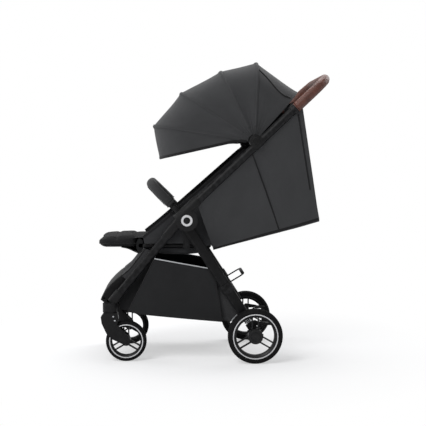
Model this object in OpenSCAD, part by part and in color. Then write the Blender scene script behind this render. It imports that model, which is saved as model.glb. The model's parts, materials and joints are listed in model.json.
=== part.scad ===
// Light folding baby stroller with a four-bow hood, a reclining back and swivelling front wheels.
// Millimetres. It faces -X, +Z is up, and the origin is on the floor under the middle of its box.

/* [Stance] */
// Rear axle, distance behind the origin
rear_axle_x = 137; // [125:1:150]
// Front axle, place along the length
front_axle_x = -312; // [-322:1:-304]
// Distance between the middles of the rear wheels
rear_track = 460; // [456:1:480]
// Distance between the middles of the front wheels
front_track = 330; // [320:1:334]
// Rear wheel diameter
rear_wheel_d = 191; // [180:1:196]
// Rear tyre width
rear_wheel_w = 36; // [30:1:38]
// Front wheel diameter
front_wheel_d = 143; // [130:1:146]
// Front tyre width
front_wheel_w = 32; // [26:1:34]
// Distance of the front axle behind its swivel axis
caster_trail = 53; // [48:1:56]

/* [Fold hub] */
// Place of the fold axis along the length
hub_x = -100; // [-106:1:-94]
// Height of the fold axis
hub_z = 498; // [490:1:506]
// Radius of the outer hub housing
housing_r = 37; // [35:1:40]
// Thickness of the outer hub housing
housing_t = 30; // [28:1:34]
// Inner face of the hub stack, from the middle plane
stack_in = 177; // [175:1:179]
// Thickness of each inner hub plate
plate_t = 18; // [16:1:18]
// Radius of each inner hub plate
plate_r = 33; // [30:1:35]
// Radius of the fold pin
pin_r = 5; // [4:0.5:6]

/* [Push frame] */
// Slope of the push arms above level
arm_slope = 43.2; // [42:0.2:44.4]
// Distance of the arm's centreline above the fold axis
arm_rise = 25; // [24:1:27]
// Outer radius of the push arm tube
arm_r = 13.5; // [12:0.5:14]
// Wall of the aluminium tubes
tube_wall = 1.5; // [1:0.25:2.5]
// Length from the fold axis to the leather grip, along the arm
grip_from = 538; // [525:1:550]
// Length from the fold axis to the cross-bar of the handle
handle_reach = 689; // [680:1:700]
// Bend radius of the handle's corners
handle_bend = 80; // [70:1:95]
// Thickness of the leather grip
grip_t = 3.4; // [2.5:0.1:4.5]

/* [Legs] */
// Width of the front leg seen from the side
front_leg_w = 28; // [24:1:30]
// Width of the rear leg seen from the side
rear_leg_w = 37; // [32:1:40]
// Thickness of both legs across the stroller
leg_t = 18; // [16:1:18]
// Length of the visible suspension spring
spring_gap = 30; // [26:1:32]

/* [Seat] */
// Half of the seat frame's width, to the middle of its tubes
seat_half = 150; // [144:1:151]
// Height of the seat frame's tubes
seat_tube_z = 404; // [400:1:408]
// Place of the seat frame's front tube
seat_front_x = -246; // [-250:1:-242]
// Thickness of the seat pad
seat_pad_t = 19.5; // [15:0.5:21]
// Length of the calf rest's pad
calf_length = 154; // [140:1:158]
// Slope of the lowered backrest above level
back_slope = 16.1; // [14:0.1:18]
// Length of the backrest frame
back_length = 388; // [370:1:392]
// Distance of the bumper's cross-bar from the fold axis
bumper_reach = 174; // [168:1:178]

/* [Hood] */
// Place of the hood's pivot along the arm, from the fold axis
hood_along = 359; // [350:1:368]
// Half width of the hood over its outermost bow
hood_half = 201; // [198:1:201]
// Bend radius of the bows
bow_bend = 105; // [90:1:115]
// How far the fabric sags between two bows
hood_sag = 9; // [4:1:12]

/* [Basket] */
// Wall of the basket
basket_t = 2.5; // [2:0.5:4]

/* [Hidden] */
$fn = 48;

// clearances: running fit on a pin, between pieces of one body, between bodies, and soft to hard
run = 0.05;
snug = 0.1;
gap = 0.35;
body_gap = 1;

// colours
frame_black = "#1c1d1f";
plastic_black = "#222326";
fabric_grey = "#38393c";
leather_brown = "#5b3a33";
rubber_black = "#151516";
silver = "#b8babd";

// hub stack, from the middle outwards
plate_out = stack_in + plate_t;
rear_disc_in = plate_out + 2;
rear_disc_out = rear_disc_in + leg_t;
housing_in = rear_disc_out + body_gap;
housing_out = housing_in + housing_t;
arm_y = housing_in + arm_r - 0.5;
hub = [hub_x, hub_z];

// heights of the axles
rear_axle = [rear_axle_x, rear_wheel_d / 2];
front_axle = [front_axle_x, front_wheel_d / 2];
swivel_x = front_axle_x - caster_trail;
rear_wheel_y = rear_track / 2;
front_wheel_y = front_track / 2;

// front leg, from the hub plate to the caster socket
front_leg_top = [hub_x - 20, stack_in + plate_t / 2, hub_z + 1];
front_leg_foot = [swivel_x + 5, front_wheel_y, front_wheel_d + 66];
front_leg_len = norm(front_leg_foot - front_leg_top);
front_leg_from = 28;
socket_floor = front_wheel_d + 29.5;
socket_top = front_wheel_d + 62;
socket_r = 22;
swivel_r = 5;

// rear leg, from the hub to the axle carrier
leg_lean = 10;
rear_leg_top = [hub_x - 5, rear_disc_in + leg_t / 2, hub_z - 12];
carrier_reach = norm([rear_axle[0] - rear_leg_top[0], rear_axle[1] - rear_leg_top[2]]);
rear_leg_len = carrier_reach - spring_gap - 44;
rear_run = [rear_axle[0] + 8 - rear_leg_top[0], -leg_lean, rear_axle[1] - rear_leg_top[2]];
rear_dir = rear_run / norm(rear_run);
carrier_from = rear_leg_len + spring_gap;
stem_r = 6;
crossbar_at = 271;
crossbar_r = 9;
crossbar = [rear_leg_top[0] + crossbar_at * rear_dir[0], rear_leg_top[2] + crossbar_at * rear_dir[2]];
lever_half = 93;
lever_slope = 31;

// collar at the lower end of the grip, and the hub housing's sleeve on the arm
collar_t = 4;
hub_sleeve_t = 5;

// wheels
axle_r = 6;
front_axle_r = 4;
star_r = 30;
star_notches = 12;
star_in = rear_wheel_y - rear_wheel_w / 2 - 5;
carrier_out = star_in - 1;
pedal_turn = 45;
pedal_pivot = [rear_axle[0] + 1.4, rear_axle[1] + 41];

// seat
seat_tube_r = 8;
strut_t = 10;
seat_top_z = seat_tube_z + seat_tube_r + gap;
pad_half = seat_half - 2;
seat_pad_front = seat_front_x - 11;
back_tube_r = 7;
back_start = [-4, seat_tube_z - 4];
back_tube_start = [back_start[0] - (back_tube_r + 1) * sin(back_slope),
    back_start[1] + (back_tube_r + 1) * cos(back_slope)];
seat_reach = seat_tube_r + back_tube_r + gap;
seat_rear_x = back_tube_start[0] - sqrt(pow(seat_reach, 2) - pow(back_tube_start[1] - seat_tube_z, 2));
back_pad_from = 2 * back_tube_r + 1.3;
back_pad_t = 18;
calf_x = seat_front_x - 16;
calf_board_t = 7;
strap_t = 2;

// bumper
bumper_turn = 135;
bumper_r = 8;
bumper_cover_t = 8.5;
bumper_y = stack_in + 8;
bumper_bend = 70;

// hood: turn above level and reach of the rear, upper, middle, front and visor bows
hood_rise = 11;
hood_turns = [87.7, 115.2, 146.5, 171.2, 189.9];
hood_reaches = [276, 271, 306, 354, 334];
hood_rear_turn = 50;
hood_rear_reach = 235;
bow_t = 3;
bow_w = 8;
bow_inset = 4;
bow_pitch = bow_t + 0.5;
bow_eye_r = 11;
hood_pin_r = 4;
fabric_t = 2;
hood_root = 24;
clip_r = 22;

function arm_point(along, up) = [
    hub_x - arm_rise * sin(arm_slope) + along * cos(arm_slope) - up * sin(arm_slope),
    hub_z + arm_rise * cos(arm_slope) + along * sin(arm_slope) + up * cos(arm_slope)];
function back_point(a, b) = [
    back_start[0] + a * cos(back_slope) - b * sin(back_slope),
    back_start[1] + a * sin(back_slope) + b * cos(back_slope)];
hood_pivot = arm_point(hood_along, hood_rise);

// ---------- helpers ----------

// both sides of the stroller
module both() { children(); mirror([0, 1, 0]) children(); }

// the far side as it is, the near side mirrored
module on_side(side) { if (side == "left") mirror([0, 1, 0]) children(); else children(); }

// children's Z axis runs from p towards q, their X axis stays in the upright plane
module aim(p, q) {
    d = q - p;
    translate(p) rotate([0, atan2(norm([d[0], d[1]]), d[2]), atan2(d[1], d[0])]) children();
}

module rod(p, q, r) { aim(p, q) cylinder(r = r, h = norm(q - p)); }

// a cylinder across the stroller at a place seen from the side
module across(at, from, to, r) {
    translate([at[0], from, at[1]]) rotate([-90, 0, 0]) cylinder(r = r, h = to - from);
}

// an oval tube section, wide along X
module oval(w, t) {
    square([w - t, t], center = true);
    for (s = [-1, 1]) translate([s * (w - t) / 2, 0]) circle(d = t);
}

// an outline seen from the side, given a thickness across the stroller
module side_plate(points, from, to) {
    translate([0, to, 0]) rotate([90, 0, 0]) linear_extrude(to - from) polygon(points);
}

// children in the arm's own frame: X along the arm, Z square to it
module on_arm(along = 0, up = 0) {
    p = arm_point(along, up);
    translate([p[0], 0, p[1]]) rotate([0, -arm_slope, 0]) children();
}

module on_back() { translate([back_start[0], 0, back_start[1]]) rotate([0, -back_slope, 0]) children(); }

// a U-shaped tube in the XY plane: two legs from from_x, a cross-bar at to_x
module u_tube(from_x, to_x, half, bend, r, bore = 0) {
    module section() { difference() { circle(r); if (bore > 0) circle(bore); } }
    both() {
        translate([from_x, half, 0]) rotate([0, 90, 0]) linear_extrude(to_x - bend - from_x) section();
        translate([to_x - bend, half - bend, 0]) rotate_extrude(angle = 90) translate([bend, 0]) section();
    }
    translate([to_x, half - bend, 0]) rotate([90, 0, 0]) linear_extrude(2 * (half - bend)) section();
}

function flat_list(grid) = [for (row = grid) for (p = row) p];

// a closed sheet between an outer and an inner grid of points
module sheet(outer, inner) {
    rows = len(outer);
    cols = len(outer[0]);
    count = rows * cols;
    out_normal = cross(outer[1][0] - outer[0][0], outer[0][1] - outer[0][0]) * (outer[0][0] - inner[0][0]);
    flip = out_normal > 0;
    function at(i, j) = i * cols + j;
    faces = concat(
        [for (i = [0 : rows - 2]) for (j = [0 : cols - 2]) each [
            [at(i, j), at(i + 1, j), at(i + 1, j + 1)], [at(i, j), at(i + 1, j + 1), at(i, j + 1)]]],
        [for (i = [0 : rows - 2]) for (j = [0 : cols - 2]) each [
            [count + at(i, j), count + at(i + 1, j + 1), count + at(i + 1, j)],
            [count + at(i, j), count + at(i, j + 1), count + at(i + 1, j + 1)]]],
        [for (i = [0 : rows - 2]) each [
            [at(i, 0), count + at(i, 0), count + at(i + 1, 0)],
            [at(i, 0), count + at(i + 1, 0), at(i + 1, 0)],
            [at(i, cols - 1), count + at(i + 1, cols - 1), count + at(i, cols - 1)],
            [at(i, cols - 1), at(i + 1, cols - 1), count + at(i + 1, cols - 1)]]],
        [for (j = [0 : cols - 2]) each [
            [at(0, j), count + at(0, j + 1), count + at(0, j)],
            [at(0, j), at(0, j + 1), count + at(0, j + 1)],
            [at(rows - 1, j), count + at(rows - 1, j), count + at(rows - 1, j + 1)],
            [at(rows - 1, j), count + at(rows - 1, j + 1), at(rows - 1, j + 1)]]]);
    polyhedron(points = concat(flat_list(outer), flat_list(inner)),
        faces = [for (f = faces) flip ? [f[2], f[1], f[0]] : f]);
}

// ---------- front frame ----------

module front_leg_shape(w, t, from, to) {
    aim(front_leg_top, front_leg_foot) translate([0, 0, from]) linear_extrude(to - from) oval(w, t);
}

module front_leg(side) {
    color(frame_black) on_side(side)
        front_leg_shape(front_leg_w, leg_t, front_leg_from + gap, front_leg_len);
}

module hub_plates() {
    color(plastic_black) both() difference() {
        union() {
            across(hub, stack_in, plate_out, plate_r);
            front_leg_shape(front_leg_w + 6, leg_t + 1.6, 0, 78);
            translate([hub_x, bumper_y, hub_z]) rotate([0, -bumper_turn, 0])
                translate([plate_r - 6, 0, 0]) rotate([0, 90, 0]) cylinder(r = bumper_r + 3, h = 40);
        }
        front_leg_shape(front_leg_w + 2 * snug, leg_t + 2 * snug, front_leg_from, 80);
        across(hub, stack_in - 1, plate_out + 5, pin_r + run);
        translate([hub_x, bumper_y, hub_z]) rotate([0, -bumper_turn, 0])
            translate([plate_r + 9, 0, 0]) rotate([0, 90, 0]) cylinder(r = bumper_r + run, h = 40);
    }
}

module seat_frame() {
    bars = [seat_front_x, seat_rear_x];
    color(frame_black) difference() {
        union() {
            both() rod([seat_front_x, seat_half, seat_tube_z], [seat_rear_x, seat_half, seat_tube_z],
                seat_tube_r);
            for (x = bars) {
                rod([x, -seat_half, seat_tube_z], [x, seat_half, seat_tube_z], seat_tube_r);
                both() translate([x, seat_half, seat_tube_z]) sphere(seat_tube_r);
            }
            // struts up to the hub plates
            both() {
                rod([hub_x, seat_half, seat_tube_z], [hub_x, stack_in, seat_tube_z], seat_tube_r);
                translate([hub_x - 12, stack_in - strut_t, seat_tube_z - seat_tube_r])
                    cube([24, strut_t, hub_z - 12 - seat_tube_z + seat_tube_r]);
            }
            // ears and pins of the calf rest
            both() {
                side_plate([[calf_x, seat_tube_z - 7], [seat_front_x, seat_tube_z - 7],
                    [seat_front_x, seat_tube_z + 7], [calf_x, seat_tube_z + 7]], 136, 142);
                across([calf_x, seat_tube_z], 136, 142, 7);
                across([calf_x, seat_tube_z], 118, 137, 3);
            }
        }
        both() across(hub, stack_in - 12, stack_in + 1, pin_r + 1);
    }
}

module seat_board() {
    color(plastic_black)
        translate([seat_front_x + seat_tube_r + gap, -seat_half + seat_tube_r + gap, seat_tube_z + 3])
            cube([seat_rear_x - seat_front_x - 2 * (seat_tube_r + gap),
                2 * (seat_half - seat_tube_r - gap), seat_tube_r - 3]);
}

// a slab with rounded upright corners
module slab(x0, x1, half, z0, z1, r) {
    translate([0, 0, z0]) linear_extrude(z1 - z0) {
        translate([x0 + r, -half]) square([x1 - x0 - 2 * r, 2 * half]);
        translate([x0, -half + r]) square([x1 - x0, 2 * (half - r)]);
        for (x = [x0 + r, x1 - r], y = [-half + r, half - r]) translate([x, y]) circle(r);
    }
}

module seat_pad() {
    color(fabric_grey) slab(seat_pad_front, seat_rear_x + 7, pad_half, seat_top_z, seat_top_z + seat_pad_t, 14);
}

module foot_plate() {
    half = front_wheel_y - socket_r - gap;
    x = swivel_x;
    z = socket_floor;
    color(plastic_black) {
        side_plate([[x - 38, z + 41], [x - 32, z + 55.5], [x - 18, z + 76.5], [x, z + 96.5],
            [x + 20, z + 114.5], [x + 34, z + 124.5], [x + 37.5, z + 120.5], [x + 23, z + 109.5],
            [x + 3.5, z + 92.5], [x - 14, z + 73.5], [x - 26, z + 56.5], [x - 29, z + 44],
            [x - 18, z + 41.5], [x - 13, z + 30], [x + 25, z + 26], [x + 25, z + 19.5],
            [x - 19, z + 23.5], [x - 30, z + 34.5]], -half, half);
        both() side_plate([[x - 29, z + 55.5], [x - 16, z + 75], [x + 2, z + 94.5], [x + 21.5, z + 112],
            [x + 35.5, z + 122], [x + 51, z + 110.5], [x + 24, z + 74.5], [x + 1, z + 42.5],
            [x - 17, z + 38]], half - 3.5, half - 0.5);
    }
}

module foot_apron() {
    low = [swivel_x + 34.3, socket_floor + 124.85];
    top = [seat_front_x - 26, seat_tube_z - seat_tube_r - 18];
    tie = [seat_front_x - 2, seat_tube_z - seat_tube_r - gap];
    color(fabric_grey) {
        side_plate([low, top, tie, tie + [2, -1], top + [3, -1.5], low + [2.5, -2]], -seat_half, seat_half);
        both() side_plate([low + [1, 0], top + [1, 0], tie + [1, -0.4], tie + [26, -10], low + [38, -1],
            low + [17.5, -12.2]], seat_half - fabric_t - 0.3, seat_half - 0.3);
    }
}

// the basket fills the width between the leaning rear legs, and its toe that between the front legs
basket_half = rear_disc_in - 0.45 * leg_lean;
toe_clear = 9;
basket_outline = [[hub_x - 112, 362], [hub_x + 95, 324], [hub_x + 125, 139.5], [hub_x - 141, 165.5],
    [hub_x - 205, 177.5]];

// the outline moved in by t on every side but its open top
function inset(points, t) = [for (i = [0 : len(points) - 1])
    let (n = len(points), a = points[(i + n - 1) % n], b = points[i], c = points[(i + 1) % n],
        u = (b - a) / norm(b - a), v = (c - b) / norm(c - b),
        p = a + t * [u[1], -u[0]], q = b + t * [v[1], -v[0]],
        k = ((q - p) * [v[1], -v[0]]) / (u * [v[1], -v[0]]))
    p + k * u];

module basket() {
    inner = inset(basket_outline, basket_t);
    toe_half = front_wheel_y - leg_t / 2 - toe_clear;
    toe = [[hub_x - 105, 361.5], [hub_x - 203, 177], [hub_x - 236.6, 178], [hub_x - 235, 232],
        [hub_x - 200, 290], [hub_x - 138, 360]];
    toe_in = inset(toe, basket_t);
    flap = 175.5;
    color(fabric_grey) difference() {
        union() {
            side_plate(basket_outline, -basket_half, basket_half);
            side_plate(toe, -toe_half, toe_half);
            both() side_plate([[hub_x + 94, 320], [hub_x + 124, 268], [hub_x + 127, 246], [hub_x + 145, 240],
                [hub_x + 162, 236], [hub_x + 196, 178], [hub_x + 192, 163], [hub_x + 155, 137.5],
                [hub_x + 124, 141]], flap - fabric_t, flap);
        }
        side_plate([inner[0] + [4, 40], inner[1] + [-1, 40], inner[1], inner[2], inner[3], inner[4], inner[0]],
            -basket_half + basket_t, basket_half - basket_t);
        side_plate([toe_in[5] + [0, 40], [hub_x - 100, 400], [hub_x - 196, 180], toe_in[2], toe_in[3],
            toe_in[4], toe_in[5]], -toe_half + basket_t, toe_half - basket_t);
    }
}

buckle_at = [-128, seat_top_z + seat_pad_t + strap_t + 2 * gap];

module strap(p, q, w) {
    d = q - p;
    translate([p[0], p[1], p[2]]) rotate([0, 0, atan2(d[1], d[0])])
        translate([0, -w / 2, 0]) cube([norm([d[0], d[1]]), w, strap_t]);
}

module lap_straps() {
    z = seat_top_z + seat_pad_t + gap;
    color(plastic_black) {
        both() strap([buckle_at[0] + 10, 22, z], [seat_rear_x - 16, pad_half - 22, z], 25);
        translate([buckle_at[0] - 90, -14, z]) cube([82, 28, strap_t]);
    }
}

module buckle() {
    color(plastic_black) difference() {
        slab(buckle_at[0] - 22, buckle_at[0] + 22, 24, buckle_at[1], buckle_at[1] + 16, 8);
        translate([buckle_at[0], 0, buckle_at[1] + 8]) cylinder(r = 10.4, h = 10);
    }
}

module buckle_button() {
    color(silver) translate([buckle_at[0], 0, buckle_at[1] + 12]) cylinder(r = 10, h = 5.5);
}

module seat_wings() {
    low = seat_tube_z + seat_tube_r + 1;
    inner = stack_in - strut_t - gap - fabric_t;
    corner = arm_point(hood_along - 40, hood_rise + 3);
    under = arm_point(hood_along - 55, -8);
    knee = arm_point(80, -8);
    color(fabric_grey) both() side_plate([[seat_pad_front + 9, low], [seat_pad_front + 5, low + 24],
        [hub_x - 58, hub_z + 16], corner, under, knee, [hub_x + 98, low]], inner, inner + fabric_t);
}

module caster_sockets() {
    color(plastic_black) both() difference() {
        union() {
            for (lobe = [[0, socket_r], [-9, socket_r - 2]])
                translate([swivel_x + lobe[0], front_wheel_y, socket_floor])
                    cylinder(r = lobe[1], h = socket_top - socket_floor);
            front_leg_shape(front_leg_w + 7, leg_t + 5, front_leg_len - 44, front_leg_len + 4);
        }
        front_leg_shape(front_leg_w + 2 * snug, leg_t + 2 * snug, front_leg_len - 60, front_leg_len + snug);
        translate([swivel_x, front_wheel_y, socket_floor - 20]) cylinder(r = swivel_r + run, h = 42);
        translate([swivel_x, front_wheel_y, 0]) cylinder(r = 60, h = socket_floor);
    }
}

// ---------- rear frame ----------

// children's Z runs down the rear leg
module down_rear_leg(at = 0) {
    aim(rear_leg_top, rear_leg_top + 100 * rear_dir) translate([0, 0, at]) children();
}

module rear_leg(side) {
    color(frame_black) on_side(side) difference() {
        union() {
            across(hub, rear_disc_in, rear_disc_out, plate_r);
            down_rear_leg() linear_extrude(rear_leg_len) oval(rear_leg_w, leg_t);
        }
        across(hub, rear_disc_in - 10, rear_disc_out + 10, pin_r + run);
        down_rear_leg(rear_leg_len - 60) cylinder(r = stem_r + run, h = 61);
        // keep the tilted leg inside its own layer of the hub stack
        across(hub, rear_disc_out, rear_disc_out + 10, plate_r + 30);
        across(hub, rear_disc_in - 10, rear_disc_in, plate_r + 2);
    }
}

module rear_crossbar() {
    y = rear_leg_top[1] + crossbar_at * rear_dir[1];
    color(frame_black) {
        rod([crossbar[0], -y + leg_t / 2 + 1.2, crossbar[1]], [crossbar[0], y - leg_t / 2 - 1.2, crossbar[1]],
            crossbar_r);
        both() down_rear_leg(crossbar_at - 17) linear_extrude(34) difference() {
            oval(rear_leg_w + 7, leg_t + 6);
            oval(rear_leg_w + 2 * snug, leg_t + 2 * snug);
        }
    }
}

spring_turns = 4;
spring_wire = 1.4;
spring_coil_r = 8.6;

module suspension_springs() {
    steps = 12 * spring_turns;
    free = spring_gap - 2 * spring_wire - 2 * gap;
    function ring(i) = let (a = i * 30, r = spring_coil_r, z = gap + spring_wire + free * i / steps)
        [for (k = [0 : 5]) [(r + spring_wire * cos(60 * k)) * cos(a), (r + spring_wire * cos(60 * k)) * sin(a),
            z + spring_wire * sin(60 * k)]];
    rings = [for (i = [0 : steps]) each ring(i)];
    last = 6 * steps;
    color(silver) both() down_rear_leg(rear_leg_len) polyhedron(points = rings, faces = concat(
        [[5, 4, 3, 2, 1, 0]], [[for (k = [0 : 5]) last + k]],
        [for (i = [0 : steps - 1]) for (k = [0 : 5]) let (a = 6 * i + k, b = 6 * i + (k + 1) % 6) each [
            [a, b, b + 6], [a, b + 6, a + 6]]]));
}

module axle_carrier(side) {
    y = rear_leg_top[1] + carrier_from * rear_dir[1];
    color(plastic_black) on_side(side) {
        down_rear_leg(rear_leg_len - 30) cylinder(r = stem_r, h = spring_gap + 31);
        difference() {
            union() {
                down_rear_leg(carrier_from) linear_extrude(44) oval(32, 12);
                across(rear_axle, y - 9, carrier_out, 17);
                across(pedal_pivot, y - 7, y + 5, 9);
                side_plate([pedal_pivot + [-12, -24], pedal_pivot + [-24, 0], pedal_pivot + [0, 9],
                    pedal_pivot + [8, -4]], y - 7, y + 5);
            }
            down_rear_leg(carrier_from - 40) cylinder(r = 40, h = 40);
        }
        across(pedal_pivot, y + 4, carrier_out + 4, 4);
        across(rear_axle, carrier_out - 1, rear_wheel_y + rear_wheel_w / 2 + 2, axle_r);
    }
}

module fold_lever() {
    color(frame_black) translate([crossbar[0], 0, crossbar[1]]) rotate([0, -lever_slope, 0]) {
        both() difference() {
            translate([0, lever_half - 6, 0]) rotate([-90, 0, 0]) cylinder(r = crossbar_r + 4, h = 12);
            translate([0, lever_half - 7, 0]) rotate([-90, 0, 0]) cylinder(r = crossbar_r + run, h = 14);
        }
        u_tube(crossbar_r + 3, 74, lever_half, 16, 2.5);
        difference() {
            translate([74, -60, 0]) rotate([-90, 0, 0]) cylinder(r = 6, h = 120);
            translate([74, -61, 0]) rotate([-90, 0, 0]) cylinder(r = 2.5, h = 122);
        }
    }
}

module brake_pedal(side) {
    in = rear_leg_top[1] + carrier_from * rear_dir[1] + 6;
    out = carrier_out + 4.5;
    p = pedal_pivot;
    color(plastic_black) on_side(side) {
        difference() {
            union() {
                across(p, in, out, 9);
                side_plate([p + [-5, 7], p + [6, 8], p + [40, 2], p + [40, -6], p + [22, -7], p + [-5, -7]], in, out);
                translate([rear_axle[0], 0, rear_axle[1]]) rotate([0, -pedal_turn, 0])
                    translate([star_r + 1, in, -3]) cube([14, out - in, 6]);
            }
            across(p, in - 1, out + 1, 4 + run);
        }
        translate([p[0] + 30, in - 26, p[1] - 6.5]) cube([40, out - in + 26, 7]);
    }
}

// ---------- push frame ----------

module push_arm(side) {
    color(frame_black) on_side(side) on_arm() translate([-20, arm_y, 0]) rotate([0, 90, 0])
        linear_extrude(grip_from - 16 + 20) difference() { circle(arm_r); circle(arm_r - tube_wall); }
}

module handle_bar() {
    color(frame_black) on_arm() {
        u_tube(grip_from - 16 + snug, handle_reach, arm_y, handle_bend, arm_r, arm_r - tube_wall);
        both() translate([grip_from - 17, arm_y, 0]) rotate([0, 90, 0]) linear_extrude(16) difference() {
            circle(arm_r + collar_t);
            circle(arm_r + snug);
        }
    }
}

module handle_cover() {
    color(leather_brown) on_arm()
        u_tube(grip_from, handle_reach, arm_y, handle_bend, arm_r + snug + grip_t, arm_r + snug);
}

module hub_covers() {
    color(plastic_black) both() difference() {
        union() {
            across(hub, housing_in, housing_out, housing_r);
            on_arm() translate([-24, arm_y, 0]) rotate([0, 90, 0]) cylinder(r = arm_r + hub_sleeve_t, h = 99);
        }
        on_arm() translate([-20 - gap, arm_y, 0]) rotate([0, 90, 0]) cylinder(r = arm_r + snug, h = 120);
        across(hub, housing_in - 5, housing_out - 4, pin_r + 0.02);
        across(hub, housing_in - arm_r, housing_in, housing_r + 90);
        across(hub, housing_out - 1.5, housing_out + 1, 21);
    }
}

module fold_pins() {
    color(silver) both() across(hub, stack_in - 8, housing_out - 4 - gap, pin_r);
}

module hood_clips() {
    in = hood_half + fabric_t + 2;
    color(plastic_black) both() {
        difference() {
            union() {
                across(hood_pivot, in, arm_y + 16, clip_r);
                on_arm(hood_along - 22) translate([0, arm_y, 0]) rotate([0, 90, 0])
                    cylinder(r = arm_r + 3, h = 44);
            }
            on_arm(hood_along - 60) translate([0, arm_y, 0]) rotate([0, 90, 0])
                cylinder(r = arm_r + snug, h = 120);
        }
        across(hood_pivot, hood_half - 5 * bow_pitch, in + 1, hood_pin_r);
    }
}

module side_curtains() {
    top_y = arm_y;
    low_y = seat_half + back_tube_r + 2;
    from = 60;
    to = grip_from + 4;
    steps = 6;
    function edge(k) = let (t = k / steps,
        a = arm_point(from + (to - from) * t, -arm_r - hub_sleeve_t - 0.5),
        b = back_point(10 + (back_length - 16) * t, -9 - 9 * t))
        [[a[0], top_y, a[1]], [b[0], low_y, b[1]]];
    function between(e, u) = e[0] + (e[1] - e[0]) * u;
    outer = [for (k = [0 : steps]) [for (u = [0, 0.25, 0.5, 0.75, 1]) between(edge(k), u)]];
    color(fabric_grey) both() sheet(outer, [for (row = outer) [for (p = row) p - [0, fabric_t, 0]]]);
}

module rear_curtain() {
    top = arm_point(grip_from + 8, 28);
    low = back_point(back_length + gap, -8);
    steps = 6;
    outer = [for (k = [0 : steps]) let (t = k / steps, half = hood_half - 6 + (seat_half + 2 - hood_half) * t)
        [for (s = [-1, -0.5, 0, 0.5, 1])
            [top[0] + (low[0] - top[0]) * t + 1.7 + 4 * sin(180 * t), s * half, top[1] + (low[1] - top[1]) * t]]];
    color(fabric_grey) sheet(outer, [for (row = outer) [for (p = row) p - [fabric_t, 0, 0]]]);
}

// ---------- backrest, calf rest and bumper ----------

module backrest_frame() {
    r = back_tube_r;
    color(frame_black) on_back() translate([0, 0, r + 1]) {
        u_tube(0, back_length - r, seat_half, 60, r);
        rotate([90, 0, 0]) translate([0, 0, -seat_half]) cylinder(r = r, h = 2 * seat_half);
        both() translate([0, seat_half, 0]) sphere(r);
        translate([r + 2, -seat_half + r - 1, 0]) cube([back_length - 5 * r, 2 * (seat_half - r + 1), 4]);
    }
}

module backrest_pad() {
    color(fabric_grey) on_back()
        slab(14, back_length - 4, pad_half, back_pad_from + 0.4, back_pad_from + back_pad_t, 16);
}

module shoulder_straps() {
    top = back_pad_from + back_pad_t + gap;
    from = 50;
    run_up = back_length - 58 - from;
    color(plastic_black) on_back() both() {
        translate([from, 42, top]) cube([run_up, 32, strap_t]);
        translate([from + run_up / 3, 35, top + strap_t]) cube([run_up / 2, 46, 8]);
    }
}

module recline_strap() {
    color(plastic_black) on_back() {
        under = 1 - gap - strap_t;
        at = back_length - 88;
        translate([at, -seat_half, under]) cube([25, 2 * seat_half, strap_t]);
        slab(at - 6, at + 31, 24, under - 8, under, 6);
    }
}

module calf_board() {
    color(plastic_black) difference() {
        union() {
            slab(calf_x - calf_length + 6, calf_x - 7, 140, seat_tube_z - 4, seat_tube_z - 4 + calf_board_t, 12);
            both() {
                across([calf_x, seat_tube_z], 118.5, 135.5, 7);
                side_plate([[calf_x - 12, seat_tube_z - 4], [calf_x, seat_tube_z - 7],
                    [calf_x, seat_tube_z + 3], [calf_x - 12, seat_tube_z + 3]], 118.5, 135.5);
            }
        }
        both() across([calf_x, seat_tube_z], 110, 150, 3 + run);
    }
}

module calf_pad() {
    z = seat_tube_z - 4 + calf_board_t + gap;
    color(fabric_grey) slab(calf_x - calf_length + 2, calf_x - 8, pad_half - 2, z, z + 21, 16);
}

module on_bumper() { translate([hub_x, 0, hub_z]) rotate([0, -bumper_turn, 0]) children(); }

module bumper_bar() {
    color(frame_black) on_bumper() {
        u_tube(plate_r + 12, bumper_reach, bumper_y, bumper_bend, bumper_r);
        both() translate([plate_r + 35, bumper_y, 0]) rotate([0, 90, 0]) cylinder(r = bumper_r + 4, h = 7);
    }
}

module bumper_cover() {
    color(fabric_grey) on_bumper() u_tube(plate_r + 42.2, bumper_reach, bumper_y, bumper_bend,
        bumper_r + snug + bumper_cover_t, bumper_r + snug);
}

// ---------- hood ----------

// half-U outline of a bow: X is the reach from the pivot, Y across
module bow_outline(reach, half, bend) {
    translate([0, -half]) square([reach - bend, 2 * half]);
    translate([0, -half + bend]) square([reach, 2 * (half - bend)]);
    for (s = [-1, 1]) translate([reach - bend, s * (half - bend)]) circle(bend);
}

module bow(k) {
    half = hood_half - bow_pitch * k;
    reach = hood_reaches[k] - bow_inset;
    bend = bow_bend - bow_pitch * k;
    color(frame_black) translate([hood_pivot[0], 0, hood_pivot[1]]) rotate([0, -hood_turns[k], 0]) difference() {
        union() {
            translate([0, 0, -bow_w / 2]) linear_extrude(bow_w) difference() {
                bow_outline(reach, half, bend);
                translate([-1, 0]) bow_outline(reach - bow_t + 1, half - bow_t, bend - bow_t);
            }
            both() translate([0, half - bow_t, 0]) rotate([-90, 0, 0]) cylinder(r = bow_eye_r, h = bow_t);
        }
        rotate([-90, 0, 0]) cylinder(r = hood_pin_r + run, h = 500, center = true);
    }
}

// one section of the fabric at a turn about the pivot, as points from side to side
function hood_section(turn, reach, half, bend) =
    let (side = [for (i = [0 : 3]) [hood_root + (reach - bend - hood_root) * i / 4, half]],
        arc = [for (i = [0 : 9]) [reach - bend + bend * sin(10 * i), half - bend + bend * cos(10 * i)]],
        top = [for (i = [1 : 2]) [reach, (half - bend) * (1 - i / 3)]],
        quarter = concat(side, arc, top),
        n = len(quarter),
        all = concat(quarter, [[reach, 0]], [for (i = [n - 1 : -1 : 0]) [quarter[i][0], -quarter[i][1]]]))
    [for (p = all) [hood_pivot[0] + p[0] * cos(turn), p[1], hood_pivot[1] + p[0] * sin(turn)]];

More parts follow.
